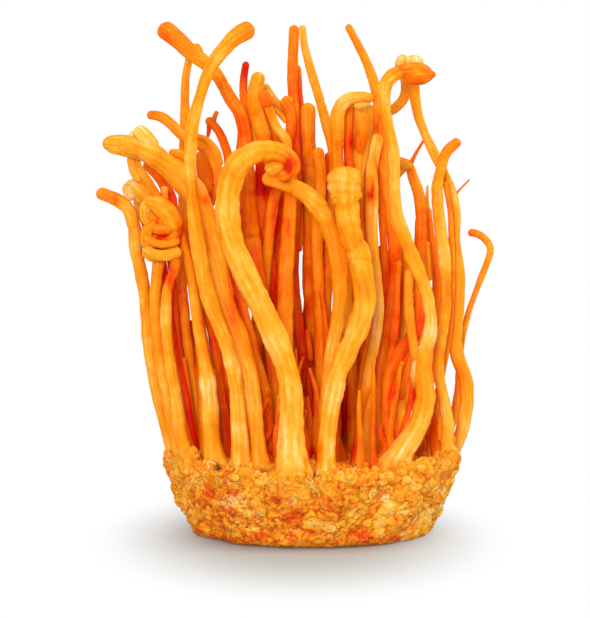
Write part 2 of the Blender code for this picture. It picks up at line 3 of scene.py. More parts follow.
import bpy
import numpy as np
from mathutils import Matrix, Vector


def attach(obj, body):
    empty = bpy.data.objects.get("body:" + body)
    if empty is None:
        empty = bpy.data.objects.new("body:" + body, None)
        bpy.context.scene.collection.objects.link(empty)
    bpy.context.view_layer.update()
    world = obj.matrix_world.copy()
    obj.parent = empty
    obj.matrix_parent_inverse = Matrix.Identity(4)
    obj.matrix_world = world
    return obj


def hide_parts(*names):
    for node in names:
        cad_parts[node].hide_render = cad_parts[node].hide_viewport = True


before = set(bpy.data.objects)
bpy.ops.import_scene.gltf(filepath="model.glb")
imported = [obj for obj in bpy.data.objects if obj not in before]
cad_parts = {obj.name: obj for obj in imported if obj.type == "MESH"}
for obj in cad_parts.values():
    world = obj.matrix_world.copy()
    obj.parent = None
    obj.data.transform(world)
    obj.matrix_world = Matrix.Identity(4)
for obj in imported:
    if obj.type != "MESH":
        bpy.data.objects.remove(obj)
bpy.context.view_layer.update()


# The camera stands where the photographer stood: 0.7 m away and a little above, so that the cake's top just
# shows. The photograph's frame is upright, so the sensor's 36 mm lie along its height.
MM = 0.001
VIEW_DISTANCE, VIEW_ACROSS, VIEW_HEIGHT, VIEW_MIDDLE = 697.84, -4.8, 104.02, 49.1
LOOK_AT = Vector((VIEW_ACROSS, 0, VIEW_MIDDLE)) * MM
LENS = 185.35


def put(name, data, place=(0, 0, 0), aimed=False):
    """A new object at a place in metres. An aimed one faces the middle of the stems."""
    thing = bpy.data.objects.new(name, data)
    thing.location = place
    if aimed:
        thing.rotation_euler = (LOOK_AT - thing.location).to_track_quat("-Z", "Y").to_euler()
    bpy.context.collection.objects.link(thing)
    return thing


view = bpy.data.cameras.new("view")
view.lens = LENS
eye = Vector((VIEW_ACROSS, -VIEW_DISTANCE, VIEW_HEIGHT)) * MM
bpy.context.scene.camera = put("view", view, eye, aimed=True)


# The studio: a white room, a large soft lamp high at the left in front, a smaller one at the right that edges
# the stems, and one overhead that lays the soft shadow under the cake. The room lights a little less than it
# looks.
def lamp(name, place, size, power, colour=(1, 1, 1)):
    """A square soft lamp that faces the stems, with its place and size in metres and its power in watts."""
    light = bpy.data.lights.new(name, "AREA")
    light.size, light.energy, light.color = size, power, colour
    put(name, light, place, aimed=True)


lamp("key_lamp", (-0.12, -0.80, 0.24), 0.20, 4.3, (1.0, 0.98, 0.95))
lamp("edge_lamp", (0.60, -0.10, 0.40), 0.30, 1.5, (1.0, 0.97, 0.92))
lamp("top_lamp", (0.0, -0.10, 0.80), 0.45, 1.5)

ROOM_LIGHT, ROOM_SEEN = 0.73, 1.0
bpy.context.scene.view_settings.view_transform = "Standard"
room = bpy.data.worlds.new("room")
room.use_nodes = True
bpy.context.scene.world = room
sky = room.node_tree.nodes["Background"]
sky.inputs["Color"].default_value = (1, 1, 1, 1)
seen = room.node_tree.nodes.new("ShaderNodeLightPath")
level = room.node_tree.nodes.new("ShaderNodeMapRange")
level.inputs["To Min"].default_value, level.inputs["To Max"].default_value = ROOM_LIGHT, ROOM_SEEN
room.node_tree.links.new(seen.outputs["Is Camera Ray"], level.inputs["Value"])
room.node_tree.links.new(level.outputs["Result"], sky.inputs["Strength"])


# The floor is a sheet that shows only near the cake, as the soft grey-beige shadow that the cake lies in. It
# fades into the white room along an ellipse that reaches further towards the viewer than to the sides.
class Value:
    """One socket of a material. Arithmetic on it adds Math nodes."""

    def __init__(self, finish, socket):
        self.finish, self.socket = finish, socket

    def math(self, operation, first, second):
        return self.finish.node("ShaderNodeMath", {"operation": operation}, {0: first, 1: second})

    def __add__(self, other):
        return self.math("ADD", self, other)

    def __sub__(self, other):
        return self.math("SUBTRACT", self, other)

    def __rsub__(self, other):
        return self.math("SUBTRACT", other, self)

    def __mul__(self, other):
        return self.math("MULTIPLY", self, other)

    def __pow__(self, other):
        return self.math("POWER", self, other)

    __radd__ = __add__
    __rmul__ = __mul__


class Finish:
    """A material with its Principled surface. node() makes any other node."""

    def __init__(self, name):
        self.material = bpy.data.materials.new(name)
        self.material.use_nodes = True
        self.tree = self.material.node_tree

    def fill(self, node, sockets):
        for key, value in sockets.items():
            if isinstance(value, Value):
                self.tree.links.new(value.socket, node.inputs[key])
            else:
                node.inputs[key].default_value = value

    def surface(self, sockets):
        """Sets or links sockets of the surface's own shader."""
        self.fill(self.tree.nodes["Principled BSDF"], sockets)

    def node(self, kind, settings, sockets, output=0):
        node = self.tree.nodes.new(kind)
        for key, value in settings.items():
            if key == "stops":
                while len(node.color_ramp.elements) < len(value):
                    node.color_ramp.elements.new(0.5)
                for element, (place, colour) in zip(node.color_ramp.elements, value):
                    element.position, element.color = place, (*colour, 1)
            else:
                setattr(node, key, value)
        self.fill(node, sockets)
        return Value(self, node.outputs[output])

    def attribute(self, name, output="Fac"):
        return self.node("ShaderNodeAttribute", {"attribute_name": name}, {}, output)

    def place(self):
        return self.node("ShaderNodeTexCoord", {}, {}, "Object")

    def noise(self, size, detail=3.0, roughness=0.55):
        """Smooth noise from 0 to 1, with patches of about that size in millimetres."""
        sockets = {"Vector": self.place(), "Scale": 1 / (size * MM), "Detail": detail, "Roughness": roughness}
        return self.node("ShaderNodeTexNoise", {}, sockets)

    def between(self, value, low, high, how="LINEAR", most=1.0):
        """From 0 where the value is at low to most where it is at high, and clamped beyond both."""
        sockets = {"Value": value, "From Min": low, "From Max": high, "To Max": most}
        return self.node("ShaderNodeMapRange", {"interpolation_type": how}, sockets)

    def ramp(self, value, stops):
        """The colour for a value from 0 to 1, between stops of (place, colour)."""
        return self.node("ShaderNodeValToRGB", {"stops": stops}, {"Fac": value})

    def mix(self, factor, first, second):
        settings = {"data_type": "RGBA", "clamp_factor": True}
        return self.node("ShaderNodeMix", settings, {0: factor, 6: first, 7: second}, output=2)

    def bump(self, height, depth, strength):
        sockets = {"Height": height, "Distance": depth * MM, "Strength": strength}
        self.surface({"Normal": self.node("ShaderNodeBump", {}, sockets)})


SHADOW_ACROSS, SHADOW_DEEP, SHADOW_SIDE, SHADOW_MIDDLE = 47.0, 90.0, -3.5, -8.0
SHADOW_CORE, SHADOW_FULL = 0.30, 0.95
SHEET_SIDE, SHEET_DEEP, SHEET_DROP = 70, 120, 0.2
floor_finish = Finish("shadow_sheet")
across, deep = (floor_finish.node("ShaderNodeSeparateXYZ", {}, {0: floor_finish.place()}, k) for k in (0, 1))
across = (across - SHADOW_SIDE * MM) * (1 / (SHADOW_ACROSS * MM))
deep = (deep - SHADOW_MIDDLE * MM) * (1 / (SHADOW_DEEP * MM))
away = (across * across + deep * deep) ** 0.5
fade = floor_finish.between(away, 1.0, SHADOW_CORE, "SMOOTHSTEP", SHADOW_FULL)
floor_finish.surface({"Base Color": (0.42, 0.42, 0.385, 1), "Specular IOR Level": 0.0, "Roughness": 1.0,
                      "Alpha": fade})
corners = [(SHEET_SIDE * x, SHEET_DEEP * y, -SHEET_DROP) for x, y in ((-1, -1), (1, -1), (1, 1), (-1, 1))]
sheet = bpy.data.meshes.new("floor")
sheet.from_pydata((np.array(corners) * MM).tolist(), [], [(0, 1, 2, 3)])
sheet.materials.append(floor_finish.material)
floor = put("floor", sheet)


# Where the stems stand. Each is a fruiting body that leaves the cake's top and wanders up to the light. A row
# is its flesh and its tone, painted lower and redder, as shade, for stems further back, then the solid's own
# line: the foot, the depth of the tip, the radii from foot to tip, and the line as the photo shows it.
STEMS = (
    ("arch_stem", "amber", 0.68, (-5.4, -26.5), -17, (3.1, 2.4, 2.4, 2.5, 2.5, 2.3, 1.5),
     ((-5.5, 20), (-5.6, 27), (-6.2, 34), (-8, 40), (-10.5, 46), (-13.4, 52), (-16.2, 58), (-18.6, 64),
      (-19.6, 70), (-19.4, 75.5), (-17.6, 80.5), (-13.8, 83.4), (-9.4, 84), (-6.1, 82.2), (-5.4, 79.6),
      (-7.4, 78.6))),
    ("ringed_stem", "amber", 0.67, (2, -24), -14, (2.2, 1.8, 1.9, 2.3, 2.4, 2.6, 2.5),
     ((2.2, 20), (2.8, 25), (3.6, 30), (4.7, 35), (6.9, 40), (9.2, 45), (10.4, 50), (10.3, 55), (9.3, 60),
      (7.8, 64.5), (6.8, 69), (6.3, 74), (5.9, 78))),
    ("long_left_stem", "amber", 0.66, (-16.8, -21), -14, (1.9, 1.4, 1.6, 1.5, 1.4, 1.1, 1.6),
     ((-17, 19), (-17.3, 25), (-17.6, 30), (-18.3, 35), (-19.6, 40), (-21.3, 45), (-23.2, 50), (-24.6, 55),
      (-25.6, 60), (-26.4, 65), (-27, 70), (-27.5, 75), (-27.8, 80), (-27.7, 85), (-27.2, 90), (-25.8, 95),
      (-24.2, 100), (-22.3, 103.6), (-19.3, 107.3), (-16.4, 109.7), (-15.2, 110.3))),
    ("leaning_stem", "amber", 0.7, (1.2, -12), -13, (1.4, 1.3, 1.3, 1.5, 1.8, 1.7, 1.3),
     ((1.6, 22), (2.2, 30), (2.6, 36), (3.4, 41), (4.4, 46), (5, 51), (5, 56), (4.4, 61), (3.4, 65),
      (1.8, 69), (-0.6, 72.6), (-3.6, 75.2), (-7.4, 76.8), (-10.8, 77.8))),
    ("broad_headed_stem", "amber", 0.64, (-12.6, -19), -5, (1.9, 1.8, 1.9, 2, 2.2, 2.4, 1.5),
     ((-13.2, 20), (-13.8, 25), (-14.4, 30), (-15.2, 35), (-16.4, 40), (-18, 45), (-19.8, 50), (-21.2, 55),
      (-22.4, 60), (-23.5, 65), (-24.8, 70), (-27.3, 75), (-31, 79), (-34.5, 82), (-38, 84), (-42, 85.2),
      (-45.6, 85.4))),
    ("pale_left_stem", "amber", 0.7, (-22.3, -18), -8, (2.1, 1.9, 1.6, 1.2, 1, 0.9, 0.8),
     ((-22.8, 18), (-23.3, 23), (-23.5, 28), (-24, 33), (-24.8, 38), (-25.7, 43), (-26.5, 48), (-27.1, 53),
      (-28, 58), (-29.2, 63), (-30.2, 67.5))),
    ("outer_left_stem", "amber", 0.8, (-30.6, -4), -7, (1.1, 1, 1.2, 1.3, 1.5, 1.5, 1.3),
     ((-31.9, 18), (-33.3, 22), (-34.8, 28), (-36, 35), (-36.9, 41), (-37.4, 47), (-37.9, 53), (-38.9, 58),
      (-39.8, 63), (-40.2, 67.6), (-41.6, 71.4), (-44.4, 73.4), (-47.2, 74.5))),
    ("forked_left_stem", "amber", 0.8, (-29.2, -8.5), -3, (1.1, 1.1, 1.2, 1.2, 1.1, 1, 0.9),
     ((-30.8, 18), (-31.9, 23), (-33.1, 30), (-34, 35), (-34.6, 40), (-35.1, 45), (-35.6, 50), (-35.3, 55),
      (-34.6, 61), (-34, 68), (-34.8, 73), (-37.2, 77.4), (-39.4, 80.6), (-40, 84), (-39.2, 87.6))),
    ("coiled_stem", "amber", 0.72, (-27.6, -12.5), -9, (1.3, 1.2, 1.1, 1.1, 1.1, 1.1, 1),
     ((-29, 18), (-30.2, 23), (-31.1, 29), (-32, 35), (-32.8, 41), (-33.2, 47), (-32.9, 53), (-31.4, 57.4),
      (-31.2, 60.6), (-34, 60.9), (-36.8, 61.8), (-36.4, 64.3), (-33, 64.2), (-30.9, 65.9), (-31.9, 68.4),
      (-35, 68.1), (-37, 70), (-36.2, 72.6), (-33.8, 72.7))),
    ("slim_left_stem", "orange", 0.82, (-26.6, -6), 3, (1.2, 1.1, 1, 0.9, 0.8, 0.8, 0.8),
     ((-27.6, 19), (-28.4, 24), (-29.1, 30), (-30.1, 35), (-30.9, 40), (-31.3, 45), (-31.4, 50), (-31.7, 56),
      (-32.6, 62), (-33.2, 68), (-33.5, 75.4))),
    ("knobbed_left_stem", "amber", 0.8, (-25.6, -1), -1, (1.1, 1, 0.9, 1, 1.1, 1.5, 1.9),
     ((-26.3, 20), (-26.6, 25), (-26.8, 30), (-27.5, 35), (-28.2, 40), (-28.8, 45), (-29.1, 50), (-29.8, 56),
      (-31.6, 62), (-34.4, 68), (-37, 72.6), (-40, 75.6))),
    ("left_thread_stem", "amber", 0.78, (-24.2, -9), 2, (0.9, 0.8, 0.8, 0.8, 0.7),
     ((-24.8, 22), (-25.3, 30), (-25.6, 36), (-25.9, 41), (-26.6, 46), (-26.4, 51), (-25.6, 57),
      (-24.6, 63))),
    ("crossing_club_stem", "orange", 0.64, (-9.4, 4), 4, (1.5, 1.5, 1.8, 2, 1.5, 1.2, 1.9),
     ((-9.3, 24), (-9.2, 32), (-9.8, 40), (-11.2, 48), (-12.8, 55), (-14.2, 62), (-14.9, 69), (-15.2, 76),
      (-15.6, 83), (-15.9, 88), (-16.8, 92), (-18.6, 94.8), (-20.2, 97.6), (-21.9, 100.6), (-24.2, 102.9),
      (-27.2, 105), (-30.2, 108), (-33, 110.1))),
    ("slim_curved_stem", "orange", 0.66, (-10.6, -8), 2, (1.1, 1, 1, 0.9, 1, 1.1, 1),
     ((-10.6, 22), (-10.9, 29), (-12.2, 34), (-13.8, 40), (-15.1, 45), (-16.6, 50), (-18.3, 55), (-19.8, 60),
      (-20.8, 67), (-21.3, 74), (-22, 80.6), (-24, 84), (-26.6, 85.6), (-29.6, 87.3), (-32, 89.8),
      (-34.2, 91.4), (-36.3, 91.7))),
    ("upright_stem", "orange", 0.66, (-7.2, -10), -2, (1.5, 1.5, 1.6, 1.6, 1.4, 1.3),
     ((-7.1, 26), (-7, 36), (-7, 46), (-6.9, 56), (-6.4, 64), (-6, 71), (-5.6, 77.5))),
    ("hooked_right_stem", "amber", 0.67, (17.6, -17), -6, (2.6, 1.9, 1.4, 1.4, 1.3, 1.2, 1.5),
     ((19.2, 18), (21.5, 21.6), (23.1, 25.5), (23.9, 29.5), (23.7, 33.5), (23.6, 37), (24.3, 41), (25.1, 45),
      (24.7, 50), (23.3, 55), (21.2, 60), (19, 65.3), (17.4, 70), (16.9, 75), (17, 80), (16.5, 85),
      (15.5, 90), (14.6, 95), (15.2, 98.8), (17.4, 100.9), (20.6, 101.3), (24.2, 100.7))),
    ("bent_right_stem", "orange", 0.66, (15.4, -6), 10, (1.3, 1.2, 1.4, 1.6, 1.4, 1.2, 1),
     ((15.5, 24), (15.6, 30), (16.1, 35), (18.1, 39), (20.6, 42.2), (22.2, 46), (22.8, 51), (22.6, 57),
      (22.8, 64), (22.9, 70), (22.3, 74.5), (21, 78.2), (20.2, 80.6), (19.4, 81.2))),
    ("outer_right_stem", "amber", 0.71, (28.6, -7), 2, (1.5, 1.3, 1.1, 1.2, 1.3, 1.2, 1),
     ((28.9, 21), (28.8, 25), (27.8, 30), (26.9, 35), (27.1, 40), (27.7, 45), (28.3, 50), (28.3, 55),
      (28, 60), (27.4, 65), (26.7, 70), (26.4, 76), (27.2, 80), (28.3, 83.5), (30.6, 85.7))),
    ("wavy_right_stem", "amber", 0.75, (29.8, 2), 6, (1.2, 1.5, 1.5, 1, 1, 1.1, 1.5),
     ((31.4, 20.2), (32.4, 24), (33.1, 29), (32.8, 33.5), (31.2, 38), (30.5, 42), (30.5, 46), (31, 50),
      (31.4, 55), (31, 60), (30.4, 65), (30.6, 70), (29.6, 75), (27.6, 79.5), (25.5, 83.7), (23.5, 88),
      (22.1, 92), (21.3, 96), (21.2, 99), (21.2, 103.4))),
    ("far_right_hook_stem", "orange", 0.7, (28, 8), 12, (0.8, 0.8, 0.8, 0.6, 0.6, 0.7, 0.8),
     ((29.6, 23), (30.9, 29), (31.3, 34), (31.5, 39), (32.3, 44), (33.3, 48), (34.6, 52), (36.1, 56),
      (37.6, 59.8), (38.2, 62.4), (37.1, 64.4), (35.4, 65.6), (33.9, 65.9))),
    ("inner_right_stem", "amber", 0.8, (10.9, -3), -1, (1.3, 1.2, 1.1, 1, 1.1, 1.2, 1.3),
     ((10.9, 24), (11, 30), (11.5, 36), (12.4, 40), (13.3, 45), (13.6, 50), (13.1, 56), (12.4, 62), (12, 68),
      (12.2, 74), (12, 79), (12.6, 83), (13.2, 86.4))),
    ("straight_right_stem", "orange", 0.72, (13.4, 1), 3, (1.4, 1.3, 1.2, 1.2, 1.1, 1, 0.9),
     ((13.8, 24), (13.8, 30), (14, 36), (14.9, 42), (16.2, 48), (17, 54), (17.2, 60), (16.4, 68), (15.2, 76),
      (14.2, 84), (13.7, 90), (13.3, 95), (12.5, 98.6), (11.5, 101.6), (10, 105), (8.2, 108.4), (7, 110.7))),
    ("short_fork_stem", "amber", 0.82, (17.4, -8), 4, (1.2, 1.1, 1, 1, 0.9),
     ((18.1, 25), (19.4, 29.6), (20.9, 33), (21.6, 38), (20.8, 44), (20.2, 50), (20.2, 57))),
    ("central_stem", "amber", 0.68, (0.6, 3), 4, (1.3, 1.2, 1.2, 1.2, 1.3, 1.2),
     ((0.9, 26), (0.9, 34), (0.7, 42), (0.5, 50), (0.2, 58), (0, 66), (0.4, 73), (0.9, 79), (0.3, 83.5))),
    ("left_tall_pair_stem", "orange", 0.6, (-3, 8), 8, (1.3, 1.2, 1.2, 1.3, 1.2, 1.1, 1),
     ((-2.9, 28), (-2.8, 37), (-4, 45), (-5, 52), (-5.2, 60), (-4.9, 68), (-4.6, 76), (-4.6, 84), (-4.9, 91),
      (-5.3, 97), (-5.3, 103), (-5, 110.4))),
    ("right_tall_pair_stem", "amber", 0.68, (4.4, 7), 6, (1.2, 1.1, 1.1, 1.1, 1.2, 0.9, 0.8),
     ((4, 28), (3.2, 36), (2.4, 44), (2.2, 52), (2.6, 60), (3.4, 68), (4, 76), (3.6, 84), (2.1, 89.5),
      (0.9, 94), (-0.3, 98), (-1.6, 102.4), (-2.7, 106.6), (-3.2, 110.6))),
    ("short_dark_stem", "orange", 0.5, (-5, 14), 11, (1.1, 1.1, 1.1, 1.1, 1, 0.8),
     ((-4.6, 30), (-3.4, 42), (-1.8, 50), (-1.5, 58), (-2.2, 68), (-2.9, 78), (-3.3, 88), (-3.7, 95),
      (-4.2, 101.8))),
    ("stub_stem", "amber", 0.68, (0.2, 13), 5, (1.2, 1.2, 1.3, 1.5, 1.6, 1.5),
     ((0.2, 30), (-0.4, 40), (-1.4, 50), (-1.6, 60), (-1.2, 70), (-1, 79), (-1.8, 86), (-2, 93))),
    ("side_club_stem", "orange", 0.62, (-8, 12), 7, (1.1, 1.1, 1.1, 1.1, 1.1, 1.1),
     ((-8, 30), (-8.2, 42), (-8.4, 54), (-8.5, 64), (-8, 74), (-7, 82), (-5.8, 88), (-5.8, 92.4),
      (-7, 94.4))),
    ("gnarled_club_stem", "amber", 0.66, (-11, 16), 2, (1.3, 1.3, 1.3, 1.3, 1.4, 1.5, 1.4),
     ((-11.2, 32), (-11.6, 44), (-11.4, 56), (-11, 66), (-10.2, 76), (-10.6, 83), (-12, 88), (-13.3, 92),
      (-13.6, 96), (-12.9, 99.8))),
    ("gnarled_loop_stem", "amber", 0.68, (-14.5, 10), -3, (1.2, 1.1, 1.1, 1.1, 1.1, 1, 0.9),
     ((-13.8, 32), (-12.6, 44), (-11.4, 56), (-10.4, 66), (-9, 75), (-6.8, 82.6), (-6.6, 86), (-8.8, 89),
      (-10.2, 92.6), (-11.6, 95.4))),
    ("red_tip_stem", "orange", 0.58, (-15.6, 14), 9, (1.1, 1.1, 1.1, 1.1, 1, 0.9),
     ((-15.4, 32), (-16, 44), (-16.6, 56), (-17.2, 66), (-17, 76), (-15.6, 84), (-15.2, 90), (-15.9, 95),
      (-16.1, 99), (-15.6, 102.6))),
    ("small_hook_stem", "orange", 0.6, (-19.4, 6), 6, (1.1, 1, 1, 0.9, 0.9, 0.9),
     ((-19, 30), (-19.8, 42), (-20.8, 54), (-20.6, 64), (-19.6, 74), (-19.3, 81), (-20.2, 85.2),
      (-21.6, 88.3), (-23.6, 90.4))),
    ("small_arch_stem", "amber", 0.7, (8.2, 4), 1, (1.3, 1.2, 1.2, 1.2, 1.2, 1.3, 1.1),
     ((8, 28), (7.6, 38), (6.6, 48), (6.6, 58), (6.4, 66), (5.6, 74), (4.6, 82), (4.4, 88), (4.6, 92.4),
      (6.4, 95), (9.2, 95.7), (11.4, 95.4))),
    ("inner_arch_stem", "orange", 0.76, (9.6, 12), 6, (1.2, 1.2, 1.2, 1.2, 1.1, 1.1),
     ((9.6, 32), (10.2, 44), (9.8, 56), (9.2, 66), (9, 76), (9.4, 84), (10, 89), (9.6, 92.6))),
    ("fork_head_stem", "amber", 0.72, (16, 11), 8, (1.1, 1, 0.9, 0.9, 0.9, 0.9, 1.1),
     ((16.6, 30), (18.6, 42), (19.6, 52), (19, 62), (16.4, 72), (14.6, 80), (14, 87), (15, 91.6),
      (17.4, 93.4), (19.2, 95.6), (19.4, 99), (18.6, 103.2))),
    ("shaded_left_stem", "orange", 0.42, (-26, 2), 2, (1.1, 1.1, 1.1, 1.2, 1.2, 1.1),
     ((-27.4, 30), (-29.2, 44), (-30.2, 56), (-31, 67), (-31.9, 73), (-33.6, 76.8), (-35.4, 79.1),
      (-37, 80.8))),
    ("shoulder_stem", "orange", 0.66, (-18, -1), 3, (1.2, 1.2, 1.3, 1.4, 1.8, 1.7),
     ((-19, 30), (-21.8, 44), (-24.2, 56), (-25.4, 66), (-24.7, 74), (-24.5, 79), (-25.2, 82.4))),
    ("knot_back_stem", "orange", 0.36, (-26.8, -4), -4, (1.1, 1.1, 1.1, 1.2, 1.4, 1.6),
     ((-29.4, 30), (-31.8, 42), (-33.6, 54), (-34.6, 60), (-36.4, 65), (-37, 68.6))),
    ("left_gap_stem", "orange", 0.7, (-25.6, 4), 3, (0.9, 0.8, 0.8, 0.8, 0.8, 0.7),
     ((-27, 24), (-28.2, 31), (-29.1, 38), (-29.6, 45), (-29.5, 52), (-29.7, 64))),
    ("low_left_stem", "orange", 0.7, (-19.6, -4), 1, (1.1, 1, 1, 0.9, 0.8),
     ((-20.4, 25), (-21.5, 32), (-22.2, 38), (-22.9, 43), (-24.2, 49), (-25.8, 58))),
    ("left_middle_stem", "orange", 0.52, (-10.4, 7), 5, (1.1, 1.1, 1.1, 1.1, 1.1, 1),
     ((-10.6, 34), (-10, 46), (-9.8, 56), (-11.4, 66), (-12.5, 74), (-12.5, 81))),
    ("upper_twig_stem", "amber", 0.7, (-4, 15), 10, (1, 1, 1, 1, 1.1, 1),
     ((-4.6, 34), (-6, 48), (-6.4, 62), (-5.2, 76), (-4.8, 84), (-5.4, 89.4), (-7.4, 92.4), (-9.6, 94.8),
      (-11.4, 97.6))),
    ("lower_twig_stem", "orange", 0.66, (-7.4, 17), 8, (1.1, 1.1, 1, 1, 1.1, 1.1),
     ((-7.6, 34), (-7.4, 48), (-6.9, 62), (-6.6, 76), (-7.4, 83), (-9.2, 86.8), (-11, 90.2), (-12.6, 94))),
    ("arch_inner_stem", "orange", 0.64, (6.4, 9), 6, (1, 1, 1, 1, 1, 0.9),
     ((7.2, 34), (7.8, 48), (7.7, 62), (7.2, 76), (6.8, 85), (6.9, 93.4))),
    ("arch_back_stem", "orange", 0.74, (11.4, 15), 10, (1.3, 1.2, 1.2, 1.2, 1.3, 1.2),
     ((11.6, 34), (11.8, 48), (11, 62), (11.1, 76), (11.7, 85), (11.7, 91.6))),
    ("right_gap_stem", "orange", 0.74, (14, 7), 5, (1, 0.9, 0.9, 0.9, 0.9, 0.8),
     ((14.3, 30), (14.8, 39), (15.1, 48), (15.2, 56), (14.6, 65), (14, 74), (13.6, 80.6))),
    ("low_right_stem", "orange", 0.64, (15, -2), 2, (1, 0.9, 0.9, 0.8, 0.8),
     ((15.3, 26), (15.8, 33), (16.4, 39), (17.1, 44), (17.6, 51), (17.9, 59))),
    ("outer_right_slim_stem", "orange", 0.76, (25.2, 1), 4, (0.9, 0.8, 0.7, 0.65, 0.6, 0.6),
     ((26.2, 26), (27.2, 33), (28.9, 42), (29.5, 49), (29.7, 56), (29.6, 63), (29.3, 70), (28.2, 76.6))),
    ("middle_slim_stem", "orange", 0.66, (2, 12), 9, (1, 0.9, 0.9, 0.8, 0.8, 0.8),
     ((1.8, 32), (1.7, 46), (1.6, 58), (2, 68), (2.6, 76), (2.5, 82.8))),
    ("back_left_stem", "orange", 0.64, (-21.5, 13), 15, (1.2, 1.1, 1.1, 1, 0.9, 0.8),
     ((-23.4, 32), (-25.4, 44), (-27.6, 56), (-29.2, 68), (-29.4, 80), (-29, 90), (-28.7, 100),
      (-27.2, 106.6))),
    ("back_right_stem", "orange", 0.66, (22.6, 10), 13, (1.3, 1.2, 1.2, 1.1, 1, 0.9),
     ((24, 30), (25.4, 40), (26.4, 50), (26, 58), (25, 65), (24.4, 70.6))),
    ("back_short_stem", "orange", 0.66, (-14, 21), 19, (1.2, 1.2, 1.1, 1, 0.8),
     ((-15.4, 34), (-17.4, 46), (-18.6, 58), (-18, 68), (-16.4, 75))),
    ("back_middle_stem", "orange", 0.64, (2.4, 22), 18, (1.2, 1.2, 1.1, 1, 0.8),
     ((3.4, 34), (4.6, 46), (6.4, 58), (8.4, 68), (9.4, 79))),
    ("back_tall_stem", "orange", 0.66, (12, 20), 16, (1.2, 1.2, 1.1, 1, 0.8),
     ((13.4, 34), (16.2, 46), (17.6, 58), (17.2, 70), (15.6, 80), (15.4, 88))),
    ("rear_left_stem", "orange", 0.64, (-9, 25), 23, (1.3, 1.2, 1.2, 1.1, 0.9),
     ((-9.6, 30), (-10.4, 42), (-11.6, 54), (-11.4, 64))),
    ("rear_middle_stem", "orange", 0.64, (2.2, 26.5), 26, (1.3, 1.3, 1.2, 1.1, 1),
     ((3.4, 28), (5.6, 38), (7.4, 48), (7.2, 57))),
    ("rear_right_stem", "orange", 0.64, (15, 24), 21, (1.3, 1.2, 1.1, 1, 0.9),
     ((15.6, 30), (16.4, 42), (18.2, 52), (18, 62))),
)
FOOT_HEIGHT = 16.8
SAMPLES = 64
CLEARANCE = 0.85
SPREAD_ROUNDS = 400


def seen_at(across, up, depth):
    """The points seen at (across, up) on the upright plane through the axis, moved back by depth."""
    spread = (VIEW_DISTANCE + depth) / VIEW_DISTANCE
    return np.stack([VIEW_ACROSS + (across - VIEW_ACROSS) * spread, depth + 0 * across,
                     VIEW_HEIGHT + (up - VIEW_HEIGHT) * spread], axis=-1)


def lengths_along(points):
    """How far along the line each point is: the sum of the steps before it."""
    return np.concatenate([[0], np.cumsum(np.linalg.norm(np.diff(points, axis=0), axis=1))])


def points_at(places, lengths, points):
    """The points at those places along a line, by straight steps."""
    return np.stack([np.interp(places, lengths, column) for column in points.T], axis=1)


def girth_at(share, girth):
    """The radius at each share of the length, from a few radii spread evenly along it."""
    return np.interp(share, np.linspace(0, 1, len(girth)), girth)


def smooth_line(points, count):
    """Even samples along a smooth curve (Catmull-Rom) through the points, and their shares of its length."""
    points = np.asarray(points, float)
    ends = np.vstack([2 * points[0] - points[1], points, 2 * points[-1] - points[-2]])
    step = np.linspace(0, 1, 12, endpoint=False)[:, None]
    pieces = [
        0.5 * (2 * b + (c - a) * step + (2 * a - 5 * b + 4 * c - d) * step**2
               + (3 * b - a - 3 * c + d) * step**3)
        for a, b, c, d in zip(ends, ends[1:], ends[2:], ends[3:])
    ]
    dense = np.vstack(pieces + [points[-1:]])
    lengths = lengths_along(dense)
    share = np.linspace(0, 1, count)
    return points_at(share * lengths[-1], lengths, dense), share


def spread_out(lines, depths, radii):
    """Moves stems nearer or further, never sideways in the view, until each clears the others.

    Where two cross in the view, their depths must differ by (reach^2 - distance^2)^0.5, with reach the sum of
    their radii and the clearance. The one that starts in front stays there. The moves are blurred along each
    stem, so that it stays smooth.
    """
    count, samples = depths.shape
    flat, owner = lines.reshape(-1, 2), np.repeat(np.arange(count), samples)
    size, start = radii.reshape(-1), depths.reshape(-1)
    reach = size[:, None] + size[None, :] + CLEARANCE
    apart = np.linalg.norm(flat[:, None] - flat[None, :], axis=2)
    first, second = np.nonzero((apart < reach) & (owner[:, None] < owner[None, :]))
    need = np.sqrt(reach[first, second] ** 2 - apart[first, second] ** 2)
    pair = owner[first] * count + owner[second]
    lead = np.bincount(pair, weights=(start[first] - start[second]) * need, minlength=count * count)
    order = np.where(lead[pair] > 0, 1.0, -1.0)
    depth = start.copy()
    blur = np.array([1, 2, 3, 4, 3, 2, 1]) / 16
    for _ in range(SPREAD_ROUNDS):
        short = np.maximum(need - (depth[first] - depth[second]) * order, 0) / 2
        ahead, behind = np.where(order > 0, short, 0), np.where(order < 0, short, 0)
        back, front = np.zeros_like(depth), np.zeros_like(depth)
        np.maximum.at(back, first, ahead)
        np.maximum.at(back, second, behind)
        np.maximum.at(front, first, behind)
        np.maximum.at(front, second, ahead)
        move = (back - front).reshape(count, samples)
        padded = np.pad(move, ((0, 0), (3, 3)), mode="edge")
        smoothed = np.stack([np.convolve(row, blur, mode="valid") for row in padded])
        depth = depth + (0.5 * move + 0.7 * smoothed).reshape(-1)
    return depth.reshape(count, samples)


